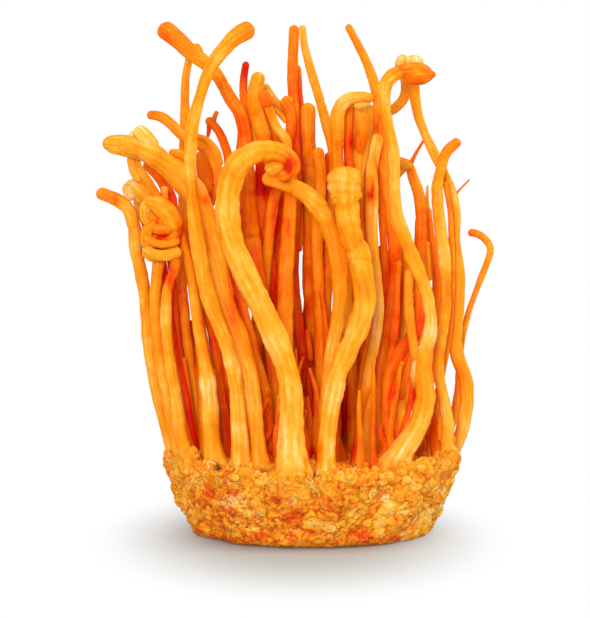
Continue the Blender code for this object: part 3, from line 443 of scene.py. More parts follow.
def stem_lines():
    """Each stem's centre line in space and its radii, by name."""
    lines, depths, radii = [], [], []
    for _, _, _, foot, tip_depth, girth, path in STEMS:
        spread = (VIEW_DISTANCE + foot[1]) / VIEW_DISTANCE
        seen_foot = (foot[0], VIEW_HEIGHT + (FOOT_HEIGHT - VIEW_HEIGHT) / spread)
        line, share = smooth_line([seen_foot, *path], SAMPLES)
        lines.append(line)
        depths.append(foot[1] + (tip_depth - foot[1]) * share)
        radii.append(girth_at(share, girth))
    lines, depths, radii = np.array(lines), np.array(depths), np.array(radii)
    centres = seen_at(lines[..., 0], lines[..., 1], spread_out(lines, depths, radii))
    return {stem[0]: (centre, size) for stem, centre, size in zip(STEMS, centres, radii)}


line_of = stem_lines()
CROWD_REACH = 6


def crowding(spots):
    """How thickly stems stand round each spot: the sum of exp(-(distance / reach)^2) over points on them."""
    marks = np.concatenate([centre[::2] for centre, _ in line_of.values()]).astype(np.float32)
    blocks = np.array_split(spots.reshape(-1, 3).astype(np.float32), 8)
    square = (((block[:, None] - marks[None]) ** 2).sum(axis=2) for block in blocks)
    near = [np.exp(-block / CROWD_REACH**2).sum(axis=1) for block in square]
    return np.concatenate(near).reshape(spots.shape[:-1]) / 4 - 1


# The stems' flesh: firm, waxy and a little see-through. It is amber where light falls on it. Its tone holds
# painted shade, red deep between the stems and in its creases, and painted highlight, paler where it is
# swollen; it has fine lengthwise streaks and, towards the tip, tiny pimples.
def waves(spots, size, seed, count=7):
    """A smooth height of about -1 to 1 for each spot: the sum of sine waves of about that size."""
    rng = np.random.default_rng(seed)
    way = rng.normal(size=(count, 3))
    way *= 2 * np.pi / (np.linalg.norm(way, axis=1, keepdims=True) * size * rng.uniform(0.7, 1.6, (count, 1)))
    return np.sin(spots @ way.T + rng.uniform(0, 2 * np.pi, count)).sum(axis=-1) * np.sqrt(2 / count) / 1.6


def unit(vectors):
    """The vectors, each divided by its own length."""
    return vectors / np.linalg.norm(vectors, axis=-1, keepdims=True)


def bell(away):
    """exp(-away^2): 1 in the middle of a spot, and nearly 0 at twice its half size."""
    return np.exp(-(away**2))


def patch(across, up, middle, half):
    """An oval spot: exp(-(across / half width)^2 - (up / half height)^2), measured from its middle."""
    return np.exp(-(((across - middle[0]) / half[0]) ** 2 + ((up - middle[1]) / half[1]) ** 2))


def add_piece(name, rings, ends, numbers, finish):
    """Closed tubes from rings of points (tubes, rings, around, 3), each end closed by a fan to its end point.

    rings may hold a single tube, as (rings, around, 3). numbers holds named values for each point of the
    rings, which the material reads.
    """
    count, around = rings.shape[-3:-1]
    rings, ends = rings.reshape(-1, count * around, 3), ends.reshape(-1, 2, 3)
    points = np.concatenate([rings, ends], axis=1)
    column, row = np.meshgrid(np.arange(around), np.arange(count - 1))
    after = (column + 1) % around
    side = np.stack([row * around + column, row * around + after, (row + 1) * around + after,
                     (row + 1) * around + column], axis=-1).reshape(-1, 4)
    column = np.arange(around)
    after, last = (column + 1) % around, (count - 1) * around
    start_fan = np.stack([after, column, 0 * column + count * around], axis=-1)
    end_fan = np.stack([last + column, last + after, 0 * column + count * around + 1], axis=-1)
    first = (np.arange(len(points)) * points.shape[1])[:, None, None]
    faces = []
    for part in (side, start_fan, end_fan):
        faces += (part + first).reshape(-1, part.shape[1]).tolist()
    mesh = bpy.data.meshes.new(name)
    mesh.from_pydata((points.reshape(-1, 3) * MM).tolist(), [], faces)
    for key, values in numbers.items():
        wide = values.size // (len(points) * count * around)
        values = values.reshape(len(points), count, around, wide)
        tips = [values[:, :1].mean(axis=2), values[:, -1:].mean(axis=2)]
        full = np.concatenate([values.reshape(len(points), -1, wide), *tips], axis=1)
        full = full.astype(np.float32).reshape(-1)
        layer = mesh.attributes.new(key, "FLOAT" if wide == 1 else "FLOAT_VECTOR", "POINT")
        layer.data.foreach_set("value" if wide == 1 else "vector", full)
    mesh.shade_smooth()
    mesh.materials.append(finish.material)
    piece = put(name, mesh)
    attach(piece, "root")
    return piece


TONE_STOPS = (0.0, 0.25, 0.45, 0.65, 0.82, 1.0)
MOTTLES, FINE_MOTTLES, STREAKS = 0.22, 0.08, 0.52
PIMPLE_SIZE = 0.55
SCATTER, SCATTER_DEPTH = (1.0, 0.26, 0.04), 2.8


def flesh(name, shades):
    """Waxy flesh whose colour follows the 'tone' of the surface, from deep red to pale amber."""
    finish = Finish(name)
    sockets = {"Vector": finish.attribute("fibre", "Vector"), "Scale": 1.5, "Detail": 3.0, "Roughness": 0.6}
    fibres = finish.node("ShaderNodeTexNoise", {}, sockets)
    mottled = finish.attribute("tone") + finish.noise(4.2) * MOTTLES + finish.noise(0.8, 2.0) * FINE_MOTTLES
    colour = finish.ramp(mottled - 0.15 + (fibres - 0.5) * STREAKS, tuple(zip(TONE_STOPS, shades)))
    finish.surface({"Base Color": colour, "Specular IOR Level": 0.09,
                    "Roughness": finish.noise(2.0) * 0.20 + 0.36, "Subsurface Weight": 0.40,
                    "Subsurface Radius": SCATTER, "Subsurface Scale": SCATTER_DEPTH * MM})
    pimples = finish.node("ShaderNodeTexVoronoi", {"feature": "SMOOTH_F1"},
                          {"Vector": finish.place(), "Scale": 1 / (PIMPLE_SIZE * MM)})
    grain = finish.noise(0.35, 2.0) * 0.4 + finish.noise(1.4) * 0.6 + fibres * 0.8
    finish.bump(grain + (1 - pimples) * finish.attribute("club") * 0.9, 0.18, 0.8)
    return finish


# The orange copy is redder at every tone: most stems further back take it, partly as painted shade.
FLESH = {
    "amber": flesh("amber_flesh", ((0.62, 0.020, 0.0), (0.80, 0.11, 0.0), (0.84, 0.215, 0.001),
                                   (0.85, 0.305, 0.006), (0.87, 0.42, 0.045), (0.95, 0.64, 0.29))),
    "orange": flesh("orange_flesh", ((0.66, 0.008, 0.0), (0.80, 0.052, 0.0), (0.84, 0.140, 0.0),
                                     (0.85, 0.225, 0.001), (0.87, 0.32, 0.009), (0.91, 0.47, 0.065))),
}
RING_STEP, TIP_RINGS, CLUB_START = 0.42, 12, 0.6


def stem_surface(centre, size, seed, around, creases=(), swells=(), flat=0.1, point=1.0, sink=3.4, flare=0.42,
                 root=0.0):
    """A tube along the line: its radius swells and tapers, and its skin is lumpy, creased and furrowed.

    radius = girth x (1 + slow swellings + small lumps + lengthwise furrows + a turning oval + named swells
    - ring creases + the flare at the foot), times the round-off (1 - x^2)^0.5 over the last radius or so.
    The section is square to the line, with its sides along the depth, as stems bend mostly across the view.
    """
    below = centre[:1] - np.array([0, 0, sink])
    way = (centre[-1:] - centre[-2:-1]) / np.linalg.norm(centre[-1] - centre[-2])
    centre = np.vstack([below, centre, centre[-1:] + way * size[-1] * 0.95])
    size = np.concatenate([size[:1], size, size[-1:]])
    lengths = lengths_along(centre)
    whole, blunt = lengths[-1], size[-1] * point
    body = np.linspace(0, whole - blunt, int(whole / RING_STEP))
    tip = whole - blunt * (1 - np.sin(np.linspace(0, np.pi / 2, TIP_RINGS + 2)[1:-1]))
    at = np.concatenate([body, tip])
    line = points_at(at, lengths, centre)
    soft = np.array([1, 4, 6, 4, 1]) / 16
    padded = np.pad(line, ((2, 2), (0, 0)), mode="reflect", reflect_type="odd")
    line = np.stack([np.convolve(column, soft, mode="valid") for column in padded.T], axis=1)
    girth = np.interp(at, lengths, size)[:, None]
    along = unit(np.gradient(line, axis=0))
    across = unit(np.cross(along, (0.0, 1.0, 0.0)))
    behind = np.cross(across, along)
    turn = np.linspace(0, 2 * np.pi, around, endpoint=False)
    ring = across[:, None] * np.cos(turn)[None, :, None] + behind[:, None] * np.sin(turn)[None, :, None]
    skin = line[:, None] + ring * girth[..., None]
    rng = np.random.default_rng(seed)
    at = at[:, None]
    share = at / whole
    swell = 0.055 * waves(line, 11.0, seed)[:, None] + 0.050 * waves(skin, 5.0, seed + 1)
    small = 0.026 * waves(skin, 2.2, seed + 2) + 0.014 * waves(skin, 1.0, seed + 3)
    ridges = rng.integers(4, 8)
    furrows = 0.030 * np.sin(ridges * turn + 1.7 * waves(line, 15.0, seed + 4)[:, None])
    furrows = furrows * (0.6 + 0.4 * waves(line, 9.0, seed + 8)[:, None])
    oval = flat * np.cos(2 * turn + 2.0 * waves(line, 26.0, seed + 9)[:, None])
    crease = 0 * skin[..., 0]
    for place, depth, width in creases:
        tilt = 0.7 * np.cos(turn + rng.uniform(0, 6)) + 0.3 * np.sin(2 * turn + rng.uniform(0, 6))
        crease = crease + depth * bell((at - place * whole + tilt) / width)
    bulge = sum((amount * bell((at - place * whole) / width) for place, amount, width in swells), 0 * share)
    fine_rings = 0.009 * waves(np.concatenate([0 * at, 0 * at, at], axis=1), 1.8, seed + 5, 9)[:, None]
    foot = np.maximum(at - sink + 0.6, 0)
    spread = flare * np.exp(-foot / 2.2) * (1 + 0.45 * np.sin(3 * turn + seed) + 0.25 * np.sin(5 * turn))
    relief = swell + small + furrows + fine_rings - crease
    round_off = np.sqrt(np.clip(1 - (np.maximum(at - (whole - blunt), 0) / blunt) ** 2, 0, 1))
    round_root = np.sqrt(np.clip(1 - (np.maximum(root - at, 0) / max(root, 1e-6)) ** 2, 0, 1))
    radius = girth * (1 + relief + oval + bulge + spread) * round_off ** (0.8 + 0.2 * point) * round_root
    rings = line[:, None] + ring * radius[..., None]
    ends = np.stack([line[0], centre[-1]])
    numbers = {
        "fibre": np.stack([girth * np.cos(turn), girth * np.sin(turn), at / 9 + 0 * turn], axis=-1),
        "relief": relief + 0.3 * bulge,
        "club": np.clip((share - CLUB_START) / 0.2, 0, 1) + 0 * relief,
        "share": share + 0 * relief,
        "streak": np.sin(ridges * 2 * turn + 2.2 * waves(line, 14.0, seed + 6)[:, None]) + 0 * relief,
        "crowd": crowding(line)[:, None] + 0 * relief,
    }
    return rings, ends, numbers


def add_flesh(name, rings, ends, numbers, shade, kind):
    """A piece of flesh with its shade and the values that its pimples and streaks follow."""
    numbers = {"tone": shade, "club": numbers["club"], "fibre": numbers["fibre"]}
    return add_piece(name, rings, ends, numbers, FLESH[kind])


# Painted shade on the flesh: red spots painted where shade falls, mostly deep in the gaps between the stems.
# A spot is its middle in the view, half its width and height, how much redder it is, and the depth from which
# stems take it. A minus makes the flesh paler instead.
ANY_DEPTH, INNER = -40.0, -14.0
PAINTED_SHADE_SPOTS = (
    (-2.3, 48.1, 2.4, 9, 0.3, INNER), (-0.9, 28.7, 1.7, 6.5, 0.28, INNER), (-19.6, 24.9, 1.8, 9, 0.36, INNER),
    (-18, 49.8, 1.9, 8.5, 0.34, INNER), (-9, 69.6, 1.3, 4.8, 0.5, INNER), (16, 57.3, 1.6, 4, 0.26, INNER),
    (-32, 55.9, 1.4, 3, 0.5, ANY_DEPTH), (-9.2, 52.2, 0.9, 5.5, 0.2, INNER),
    (-11.3, 18.9, 1.2, 2.6, 0.5, INNER), (2.1, 59.4, 1.2, 6, 0.24, INNER),
    (-6, 80.6, 1.5, 1.9, 0.62, ANY_DEPTH), (-12.9, 77.3, 1.1, 3, 0.3, INNER),
    (-11.2, 75.3, 1.6, 1.2, 0.6, ANY_DEPTH), (12, 74.8, 0.9, 2.2, 0.75, ANY_DEPTH),
    (17.1, 30.2, 1.1, 3.1, 0.5, INNER), (7.9, 86, 0.9, 2, 0.55, INNER), (-31.9, 73.9, 1.4, 1.6, 0.4, INNER),
    (21.3, 29.8, 1, 1.8, 0.6, ANY_DEPTH), (-33.9, 65.4, 1.5, 1, 0.6, ANY_DEPTH),
    (-30.2, 66.9, 0.7, 2.1, 0.5, ANY_DEPTH), (-25.2, 46.7, 0.8, 2.6, 0.3, INNER),
    (-6.2, 66.9, 0.6, 2.2, 0.45, INNER), (16.4, 20.2, 0.7, 1.7, 0.55, INNER),
    (13.4, 89.4, 0.7, 2.5, 0.4, INNER), (13, 80.2, 0.6, 1.9, 0.5, INNER), (-24.2, 73.3, 0.9, 1.2, 0.5, INNER),
    (-34.9, 68.6, 0.7, 0.9, 0.5, ANY_DEPTH), (-43.8, 73.2, 0.8, 1.1, 0.4, ANY_DEPTH),
    (-0.9, 16.4, 1.5, 2.2, 0.8, ANY_DEPTH), (8.5, 17.5, 1.4, 1.6, 0.45, INNER),
    (6.5, 25.1, 2, 7.5, 0.26, INNER), (-18.8, 60, 1.6, 5, 0.16, INNER), (5.4, 84, 0.7, 3, 0.25, INNER),
    (-31, 33, 5, 9, -0.15, ANY_DEPTH), (12.8, 33, 4, 8, -0.11, ANY_DEPTH),
)


def seen_from(spots):
    """(across, up) of each point as the camera sees it on the upright plane: seen_at undone."""
    spread = (VIEW_DISTANCE + spots[..., 1]) / VIEW_DISTANCE
    return np.stack([VIEW_ACROSS + (spots[..., 0] - VIEW_ACROSS) / spread,
                     VIEW_HEIGHT + (spots[..., 2] - VIEW_HEIGHT) / spread], axis=-1)


def painted_shade(spots):
    """The painted shade at each point, how much redder the flesh is: the sum of amount x patch, wavy at its
    border.
    """
    seen = seen_from(spots) + 0.45 * waves(spots, 2.4, 81)[..., None]
    total = 0 * spots[..., 0]
    for across, up, wide, tall, amount, depth in PAINTED_SHADE_SPOTS:
        inside = np.clip((spots[..., 1] - depth) / 5 + 0.5, 0, 1)
        total = total + amount * patch(seen[..., 0], seen[..., 1], (across, up), (wide, tall)) * inside
    return total


flesh_of = {name: (kind, tone) for name, kind, tone, *_ in STEMS}


def add_stem(name, slot, seed, around, tip_tone=0.0, foot_tone=0.0, **shape):
    """One stem in place of its solid, with painted highlight on swellings and painted shade in creases and
    crowd.
    """
    kind, tone = flesh_of[name]
    rings, ends, numbers = stem_surface(*line_of[name], seed, around, **shape)
    up = np.maximum(rings[..., 2] - FOOT_HEIGHT, 0)
    # Painted highlight on the swellings; painted shade in the creases, in the crowd and on the shade spots.
    shade = tone + 1.05 * numbers["relief"] + 0.05 * numbers["streak"] + 0.09 * waves(rings, 16.0, seed + 7)
    shade = shade - 0.055 * numbers["crowd"] + foot_tone * np.exp(-up / 12) - 0.15 * np.exp(-up / 1.6)
    shade = shade + tip_tone * np.clip((numbers["share"] - 0.90) / 0.08, 0, 1) - painted_shade(rings)
    piece = add_flesh(name + "_flesh", rings, ends, numbers, shade, kind)
    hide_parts(name)


# The thick stems at the front: the one that bends over in an arch and curls, the ringed one with its swollen
# head, the long one with its club, the leaning one and the hooked one. They are pale amber, with rings where
# growth paused: creases are (place along the stem, depth, width) and swells (place, amount, width).
THICK_STEMS = {
    "arch_stem": dict(
        seed=11, around=40, flat=0.06, tip_tone=-0.34, foot_tone=0.12, sink=2.6, flare=0.20,
        creases=((0.30, 0.04, 0.5), (0.47, 0.05, 0.5), (0.62, 0.05, 0.6), (0.76, 0.05, 0.5),
                 (0.86, 0.06, 0.5)),
        swells=((0.03, 0.12, 6), (0.82, 0.10, 8))),
    "ringed_stem": dict(
        seed=23, around=40, flat=0.04, tip_tone=-0.16, foot_tone=0.20, point=0.8, flare=0.10,
        creases=((0.70, 0.07, 0.5), (0.755, 0.14, 0.6), (0.80, 0.07, 0.4), (0.885, 0.16, 0.7),
                 (0.915, 0.12, 0.4), (0.95, 0.10, 0.4)),
        swells=((0.955, 0.42, 4.2), (0.835, 0.06, 3), (0.72, 0.10, 2))),
    "long_left_stem": dict(
        seed=37, around=30, tip_tone=-0.30, foot_tone=0.24, creases=((0.72, 0.07, 0.5), (0.55, 0.05, 0.4)),
        swells=((0.985, 0.08, 4),)),
    "leaning_stem": dict(
        seed=41, around=30, creases=((0.80, 0.08, 0.6), (0.9, 0.1, 0.5)), swells=((0.86, 0.15, 6),)),
    "hooked_right_stem": dict(
        seed=53, around=32, tip_tone=-0.45, foot_tone=0.16, point=2.6, flat=0.14,
        creases=((0.52, 0.06, 0.5), (0.925, 0.12, 0.6)), swells=((0.975, 0.35, 3.4), (0.64, 0.18, 10))),
    "broad_headed_stem": dict(
        seed=61, around=36, tip_tone=-0.08, foot_tone=0.14, point=1.3,
        creases=((0.84, 0.08, 0.6), (0.9, 0.06, 0.5)), swells=((0.94, 0.26, 7), (0.76, 0.14, 9))),
    "pale_left_stem": dict(seed=67, around=30, foot_tone=0.24),
    "upright_stem": dict(seed=71, around=28),
}
for name, shape in THICK_STEMS.items():
    add_stem(name, "thick_stems", **shape)


# The slim stems round them are the same flesh on thinner lines, each with its own tone: the outer ones are
# painted paler where they catch the light, and those at the back redder, as painted shade. A few end in a
# swollen or a red tip.
SLIM_AROUND = 24
SLIM_CREASES = ((0.35, 0.06, 0.4), (0.58, 0.07, 0.4), (0.82, 0.09, 0.4))
TIP_TONES = {"red_tip_stem": -0.35, "crossing_club_stem": -0.18, "outer_left_stem": -0.15,
             "side_club_stem": -0.1, "gnarled_loop_stem": -0.35, "small_hook_stem": -0.15,
             "far_right_hook_stem": -0.16, "outer_right_stem": -0.24, "slim_left_stem": 0.2}
SWELLS = {"small_arch_stem": ((0.86, 0.25, 5), (0.72, 0.1, 4)), "crossing_club_stem": ((0.975, 0.06, 5),),
          "forked_left_stem": ((0.985, 0.9, 2.6),), "knobbed_left_stem": ((0.985, 0.22, 3.0),),
          "wavy_right_stem": ((0.985, 0.35, 1.8),), "fork_head_stem": ((0.985, 0.45, 1.6),),
          "gnarled_club_stem": ((0.95, 0.15, 4.0),), "outer_right_stem": ((0.97, 0.12, 3.0),),
          "coiled_stem": ((0.86, 0.22, 12.0),), "inner_arch_stem": ((0.93, 0.35, 7.0),),
          "arch_back_stem": ((0.92, 0.30, 8.0),)}
slim_stems = [name for name in line_of if name not in THICK_STEMS]
for index, name in enumerate(slim_stems):
    slot = "thick_stems" if name == "stub_stem" else "thin_stems"
    add_stem(name, slot, 101 + 7 * index, SLIM_AROUND, tip_tone=TIP_TONES.get(name, 0.0),
             swells=SWELLS.get(name, ()), creases=SLIM_CREASES)


# Buds, lobes and side threads: small growths on the tall stems, which the solids leave out. Each one starts
# inside its stem, at about that stem's depth, and follows its own short line. A row is the stem, how much
# nearer the bud lies, its shade, its radii and its line. The deep red tube in the arch's curl is no growth
# but painted shade, where the curl turns under.
BUDS = (
    ("broad_headed_stem", -0.2, 0.76, (1.3, 1.7, 1.7, 1.4), ((-35.4, 83.6), (-36.6, 85.4), (-38, 87),
     (-38.8, 88))),
    ("knobbed_left_stem", -0.3, 0.8, (1.6, 2.1, 2.2, 1.8), ((-37, 72.8), (-38.6, 74.4), (-39.8, 75.4),
     (-40.4, 76))),
    ("coiled_stem", -1.6, 0.7, (0.9, 1.15, 1.15, 0.9), ((-29.6, 62), (-32.6, 61), (-35.2, 60.9),
     (-37.3, 62))),
    ("coiled_stem", -1.2, 0.56, (0.8, 0.95, 0.95, 0.8), ((-30, 64.4), (-32.6, 63.5), (-35, 63.4),
     (-37.4, 64.6))),
    ("coiled_stem", -0.8, 0.66, (1.3, 2, 2.3, 1.9, 1.2), ((-30.4, 66.4), (-31.8, 69), (-33.4, 70.9),
     (-35.2, 72.2), (-36.6, 72.6))),
    ("coiled_stem", -0.5, 0.7, (1, 1.2, 1.2, 1), ((-36.2, 67.4), (-37.6, 69.2), (-37.6, 71.4),
     (-36.4, 73.2))),
    ("coiled_stem", -0.3, 0.46, (1, 1.3, 1.2, 0.9), ((-36.2, 61.8), (-37.4, 64), (-37.3, 66.4), (-35.8, 68))),
    ("coiled_stem", -1, 0.5, (0.9, 1.1, 1.1, 0.9), ((-36.8, 68.2), (-35.4, 66.9), (-33.4, 66.6),
     (-31.2, 67.2))),
    ("small_hook_stem", 0.2, 0.2, (0.6, 0.55, 0.45, 0.3), ((-23.6, 90.2), (-23.6, 88.8), (-23.8, 87.4),
     (-24.1, 86.4))),
    ("small_hook_stem", 0, 0.3, (0.5, 0.55, 0.45), ((-22.6, 90), (-22.5, 91.2), (-22, 92.2))),
    ("left_tall_pair_stem", 0, 0.58, (1.2, 1.2, 1.1), ((-5, 94.4), (-6.2, 94.7), (-6.7, 94.8))),
    # Painted shade: a deep red tube in the arch's curl, where it turns under.
    ("arch_stem", 0.6, 0.06, (1, 1.1, 1.1, 1.1, 0.9), ((-9, 82.6), (-7, 81.8), (-5.8, 80.4), (-5.8, 78.8),
     (-6.8, 77.8))),
    ("arch_stem", -0.2, 0.66, (1.3, 1.4, 1.3), ((-11.2, 79), (-9.8, 80), (-8.2, 80.3))),
    ("gnarled_loop_stem", -0.8, 0.34, (1.1, 1.5, 1.3), ((-10.4, 93.4), (-11.1, 94.9), (-11.5, 95.9))),
    ("crossing_club_stem", 0, 0.6, (0.9, 0.95, 0.9), ((-25.4, 104.6), (-26, 106), (-26.3, 106.5))),
    ("ringed_stem", -1, 0.58, (1.2, 1.6, 1.5, 1), ((3.2, 73.4), (5, 73), (7.2, 73.2), (9, 74.2))),
    ("inner_arch_stem", -0.6, 0.66, (0.9, 1.2, 1.8, 2.1, 1.6), ((9.2, 74), (9.3, 80), (9.8, 85.6),
     (10.6, 89.6), (11.2, 92.6))),
    ("small_arch_stem", 0.2, 0.82, (0.8, 0.9, 0.8), ((8, 93.6), (9.6, 93.9), (11, 94.4))),
    ("hooked_right_stem", -0.2, 0.3, (1.6, 2.1, 1.8, 0.7), ((18.8, 100.9), (21.4, 100.4), (23.6, 100.2),
     (25.3, 100.6))),
    ("fork_head_stem", 0, 0.8, (1.2, 1.35, 1.3), ((18.8, 101.8), (18.7, 103), (18.7, 103.7))),
    ("bent_right_stem", 0, 0.64, (1.1, 1.2, 1.2, 1.3), ((20.6, 79.6), (19.8, 80.6), (18.8, 81.2),
     (17.6, 81.4))),
    ("bent_right_stem", 0.2, 0.66, (0.9, 0.9, 0.8), ((19.8, 80.8), (18.7, 79.8), (17.8, 78.6))),
    ("bent_right_stem", 0, 0.24, (0.6, 0.38, 0.32, 0.28), ((20.3, 80.6), (21.3, 82.6), (22.3, 84.4),
     (23.6, 86.4))),
    ("wavy_right_stem", 0, 0.24, (0.4, 0.22, 0.2, 0.18), ((30, 73.8), (31.1, 75.1), (32.3, 76.4),
     (33.4, 77.5))),
    ("back_right_stem", 0, 0.8, (0.6, 0.45, 0.25), ((24.3, 70.4), (24.2, 73.4), (24.3, 76.2))),
    ("broad_headed_stem", 0.9, 0.54, (1.4, 1.5, 1.5, 1.4), ((-37.6, 82.8), (-40.2, 83.7), (-42.8, 84.4),
     (-44.8, 84.8))),
    ("forked_left_stem", 0.3, 0.66, (0.9, 1.1, 1.1), ((-38.4, 77), (-39.8, 79.2), (-40.5, 82))),
    ("slim_curved_stem", 0.4, 0.58, (0.8, 0.9, 0.8, 0.6), ((-21.2, 80.4), (-22, 83.4), (-23.9, 86),
     (-25.8, 87))),
    ("shoulder_stem", 0.4, 0.5, (0.6, 0.6, 0.5), ((-23, 71.6), (-22.7, 74), (-22.6, 76.2))),
    ("broad_headed_stem", 1.6, 0.44, (1, 1, 0.8), ((-28.8, 82.4), (-30.4, 83.2), (-31.7, 83.5))),
    ("knobbed_left_stem", -0.3, 0.78, (1.2, 1.6, 1.5), ((-39.2, 73.6), (-40.4, 74.6), (-41.2, 75.6))),
    ("knobbed_left_stem", 0.2, 0.56, (0.9, 1.1, 0.9), ((-36.6, 66.2), (-38.2, 69.4), (-39.3, 72.6))),
    ("coiled_stem", 0.4, 0.6, (0.6, 0.8, 0.7), ((-35.2, 59.9), (-36.6, 60.4), (-37.8, 61.3))),
    ("short_fork_stem", 0, 0.36, (1, 0.95, 0.85, 0.5), ((18.6, 28.4), (18.9, 31.4), (19.5, 34.6),
     (20.5, 38))),
    ("outer_right_stem", 0.3, 0.5, (0.9, 0.8, 0.5), ((27.4, 19.6), (27.3, 23), (27.2, 26.6))),
    ("short_fork_stem", -0.6, 0.3, (0.7, 0.7, 0.4), ((20.6, 26.4), (21.2, 29), (21.7, 31.4))),
    ("left_tall_pair_stem", 0.5, 0.4, (0.6, 0.55, 0.4), ((-3.9, 61.6), (-3.4, 66), (-3.3, 71.4))),
    ("central_stem", 0.9, 0.3, (0.7, 0.7, 0.5), ((-0.8, 25.6), (-1.4, 30), (-1.7, 34.4))),
    ("central_stem", 0.9, 0.34, (0.6, 0.6, 0.4), ((-1.2, 37.4), (-1.7, 41), (-2.1, 44.4))),
    ("inner_arch_stem", 0.3, 0.4, (0.8, 0.7, 0.6), ((7.9, 83.6), (8.1, 89), (8.1, 94.2))),
    ("gnarled_club_stem", 0.8, 0.5, (0.8, 0.9, 0.7), ((-12.6, 84.8), (-13.5, 86.6), (-13.8, 88.6))),
    ("side_club_stem", 0.4, 0.6, (0.6, 0.6, 0.5), ((-6.4, 90), (-7.7, 91.4), (-9, 92.8))),
    ("outer_right_stem", 0.8, 0.55, (0.5, 0.5, 0.35), ((24.9, 55.2), (24.6, 59.6), (24.4, 63.6))),
)


BUD_SAMPLES, BUD_AROUND, FIRST_BUD = 24, 20, 1300
for index, (host, nearer, tone, girth, path) in enumerate(BUDS):
    line, share = smooth_line(path, BUD_SAMPLES)
    spine = line_of[host][0]
    start = np.linalg.norm(seen_from(spine) - line[0], axis=1).argmin()
    centre = seen_at(line[:, 0], line[:, 1], spine[start, 1] + nearer)
    size = girth_at(share, girth)
    rings, ends, numbers = stem_surface(centre, size, FIRST_BUD + index, BUD_AROUND, flat=0.08, sink=0.0,
                                        flare=0.0, root=size[0])
    # Painted highlight on the swellings; painted shade in the creases and, more faintly, on the shade spots.
    shade = tone + 1.1 * numbers["relief"] + 0.05 * numbers["streak"] - 0.6 * painted_shade(rings)
    add_flesh(f"bud_{index:02d}", rings, ends, numbers, shade, "amber")


# The undergrowth: threads that climb along the slim stems, and the short stems that never reached the light.
# They are mesh only, dark orange, and joined in one piece.
def join_pieces(name, parts):
    """One object from many: the parts' meshes are joined in the first."""
    with bpy.context.temp_override(active_object=parts[0], selected_editable_objects=parts):
        bpy.ops.object.join()
    parts[0].name = parts[0].data.name = name


def sprout(centre, size, seed, tone):
    """A thin stem of the undergrowth, with every other ring left out below its tip."""
    rings, ends, numbers = stem_surface(centre, size, seed, SPROUT_AROUND)
    # Painted highlight on the swellings; painted shade in the creases, in the crowd and on the shade spots.
    shade = tone + 1.2 * numbers["relief"] + 0.05 * numbers["streak"] - 0.05 * numbers["crowd"]
    shade = shade - painted_shade(rings)
    body = len(rings) - TIP_RINGS
    keep = np.concatenate([np.arange(0, body, 2), np.arange(body, len(rings))])
    numbers = {key: values[keep] for key, values in numbers.items()}
    return add_flesh(f"sprout_{seed}", rings[keep], ends, numbers, shade[keep], "orange")


SPROUTS, SPROUT_AROUND, SPROUT_SAMPLES = 85, 14, 40
SPROUT_AREA, SPROUT_GAP = 29, 2.0
FIRST_SPROUT, FIRST_THREAD = 700, 900
CAKE_MIDDLE = np.array([-0.9, 0.0])
BARE = {"outer_left_stem", "far_right_hook_stem", "wavy_right_stem", "outer_right_stem", "back_right_stem",
        "outer_right_slim_stem", "short_dark_stem", "left_tall_pair_stem", "stub_stem", "forked_left_stem"}
tall_feet = np.array([centre[0, :2] for centre, _ in line_of.values()])
rng = np.random.default_rng(7)
rise = np.linspace(0, 1, SPROUT_SAMPLES)[:, None]
sprouts = []
while len(sprouts) < SPROUTS:
    spot = CAKE_MIDDLE + rng.uniform(-30, 30, 2)
    in_front = spot[1] < -17 + 0.22 * abs(spot[0])
    if np.linalg.norm(spot - CAKE_MIDDLE) > SPROUT_AREA or in_front:
        continue
    if np.linalg.norm(tall_feet - spot, axis=1).min() < SPROUT_GAP:
        continue
    reach = rng.uniform(6, 24)
    lean = rng.normal(0, 0.10, 2) - 0.004 * (spot - CAKE_MIDDLE)
    bow = rng.normal(0, 1.2, 2)
    flat = spot + lean * reach * rise + bow * np.sin(np.pi * rise)
    flat = flat + 0.5 * bow[::-1] * np.sin(2 * np.pi * rise)
    centre = np.hstack([flat, FOOT_HEIGHT + reach * rise])
    size = rng.uniform(0.6, 1.1) * (1.15 - 0.75 * rise[:, 0])
    sprouts.append(sprout(centre, size, FIRST_SPROUT + len(sprouts), 0.50 + rng.uniform(-0.12, 0.16)))
for index, name in enumerate(sorted(set(slim_stems) - BARE)):
    host, girth = line_of[name]
    last = int(SAMPLES * rng.uniform(0.4, 0.85))
    thread = rng.uniform(0.45, 0.8)
    angle = np.pi / 2 + rng.uniform(-1.0, 1.0) + np.linspace(0, rng.normal(0, 1.2), last)
    reach = girth[:last] + thread * rng.uniform(0.9, 1.5) + 1.2 * np.exp(-np.linspace(0, 8, last))
    side = np.stack([np.cos(angle) * reach, np.sin(angle) * reach, 0 * angle], axis=1)
    size = thread * np.linspace(1.25, 0.7, last)
    sprouts.append(sprout(host[:last] + side, size, FIRST_THREAD + index, 0.56 + rng.uniform(-0.12, 0.14)))
join_pieces("undergrowth", sprouts)


# The cake: cooked grain bound by the fungus into a firm block. Its skin is a patchwork of squashed grains,
# with gaps between them, and it rises in a rough rim and in small mounds round the stems' feet.
CAKE_HEIGHT, TOP_RADIUS, BASE_RADIUS, RIM_ROUND, EDGE_ROUND = 16.5, 32.2, 26.3, 1.2, 3.2
TOP_ROWS, SIDE_ROWS, BASE_ROWS, AROUND = 62, 44, 10, 520


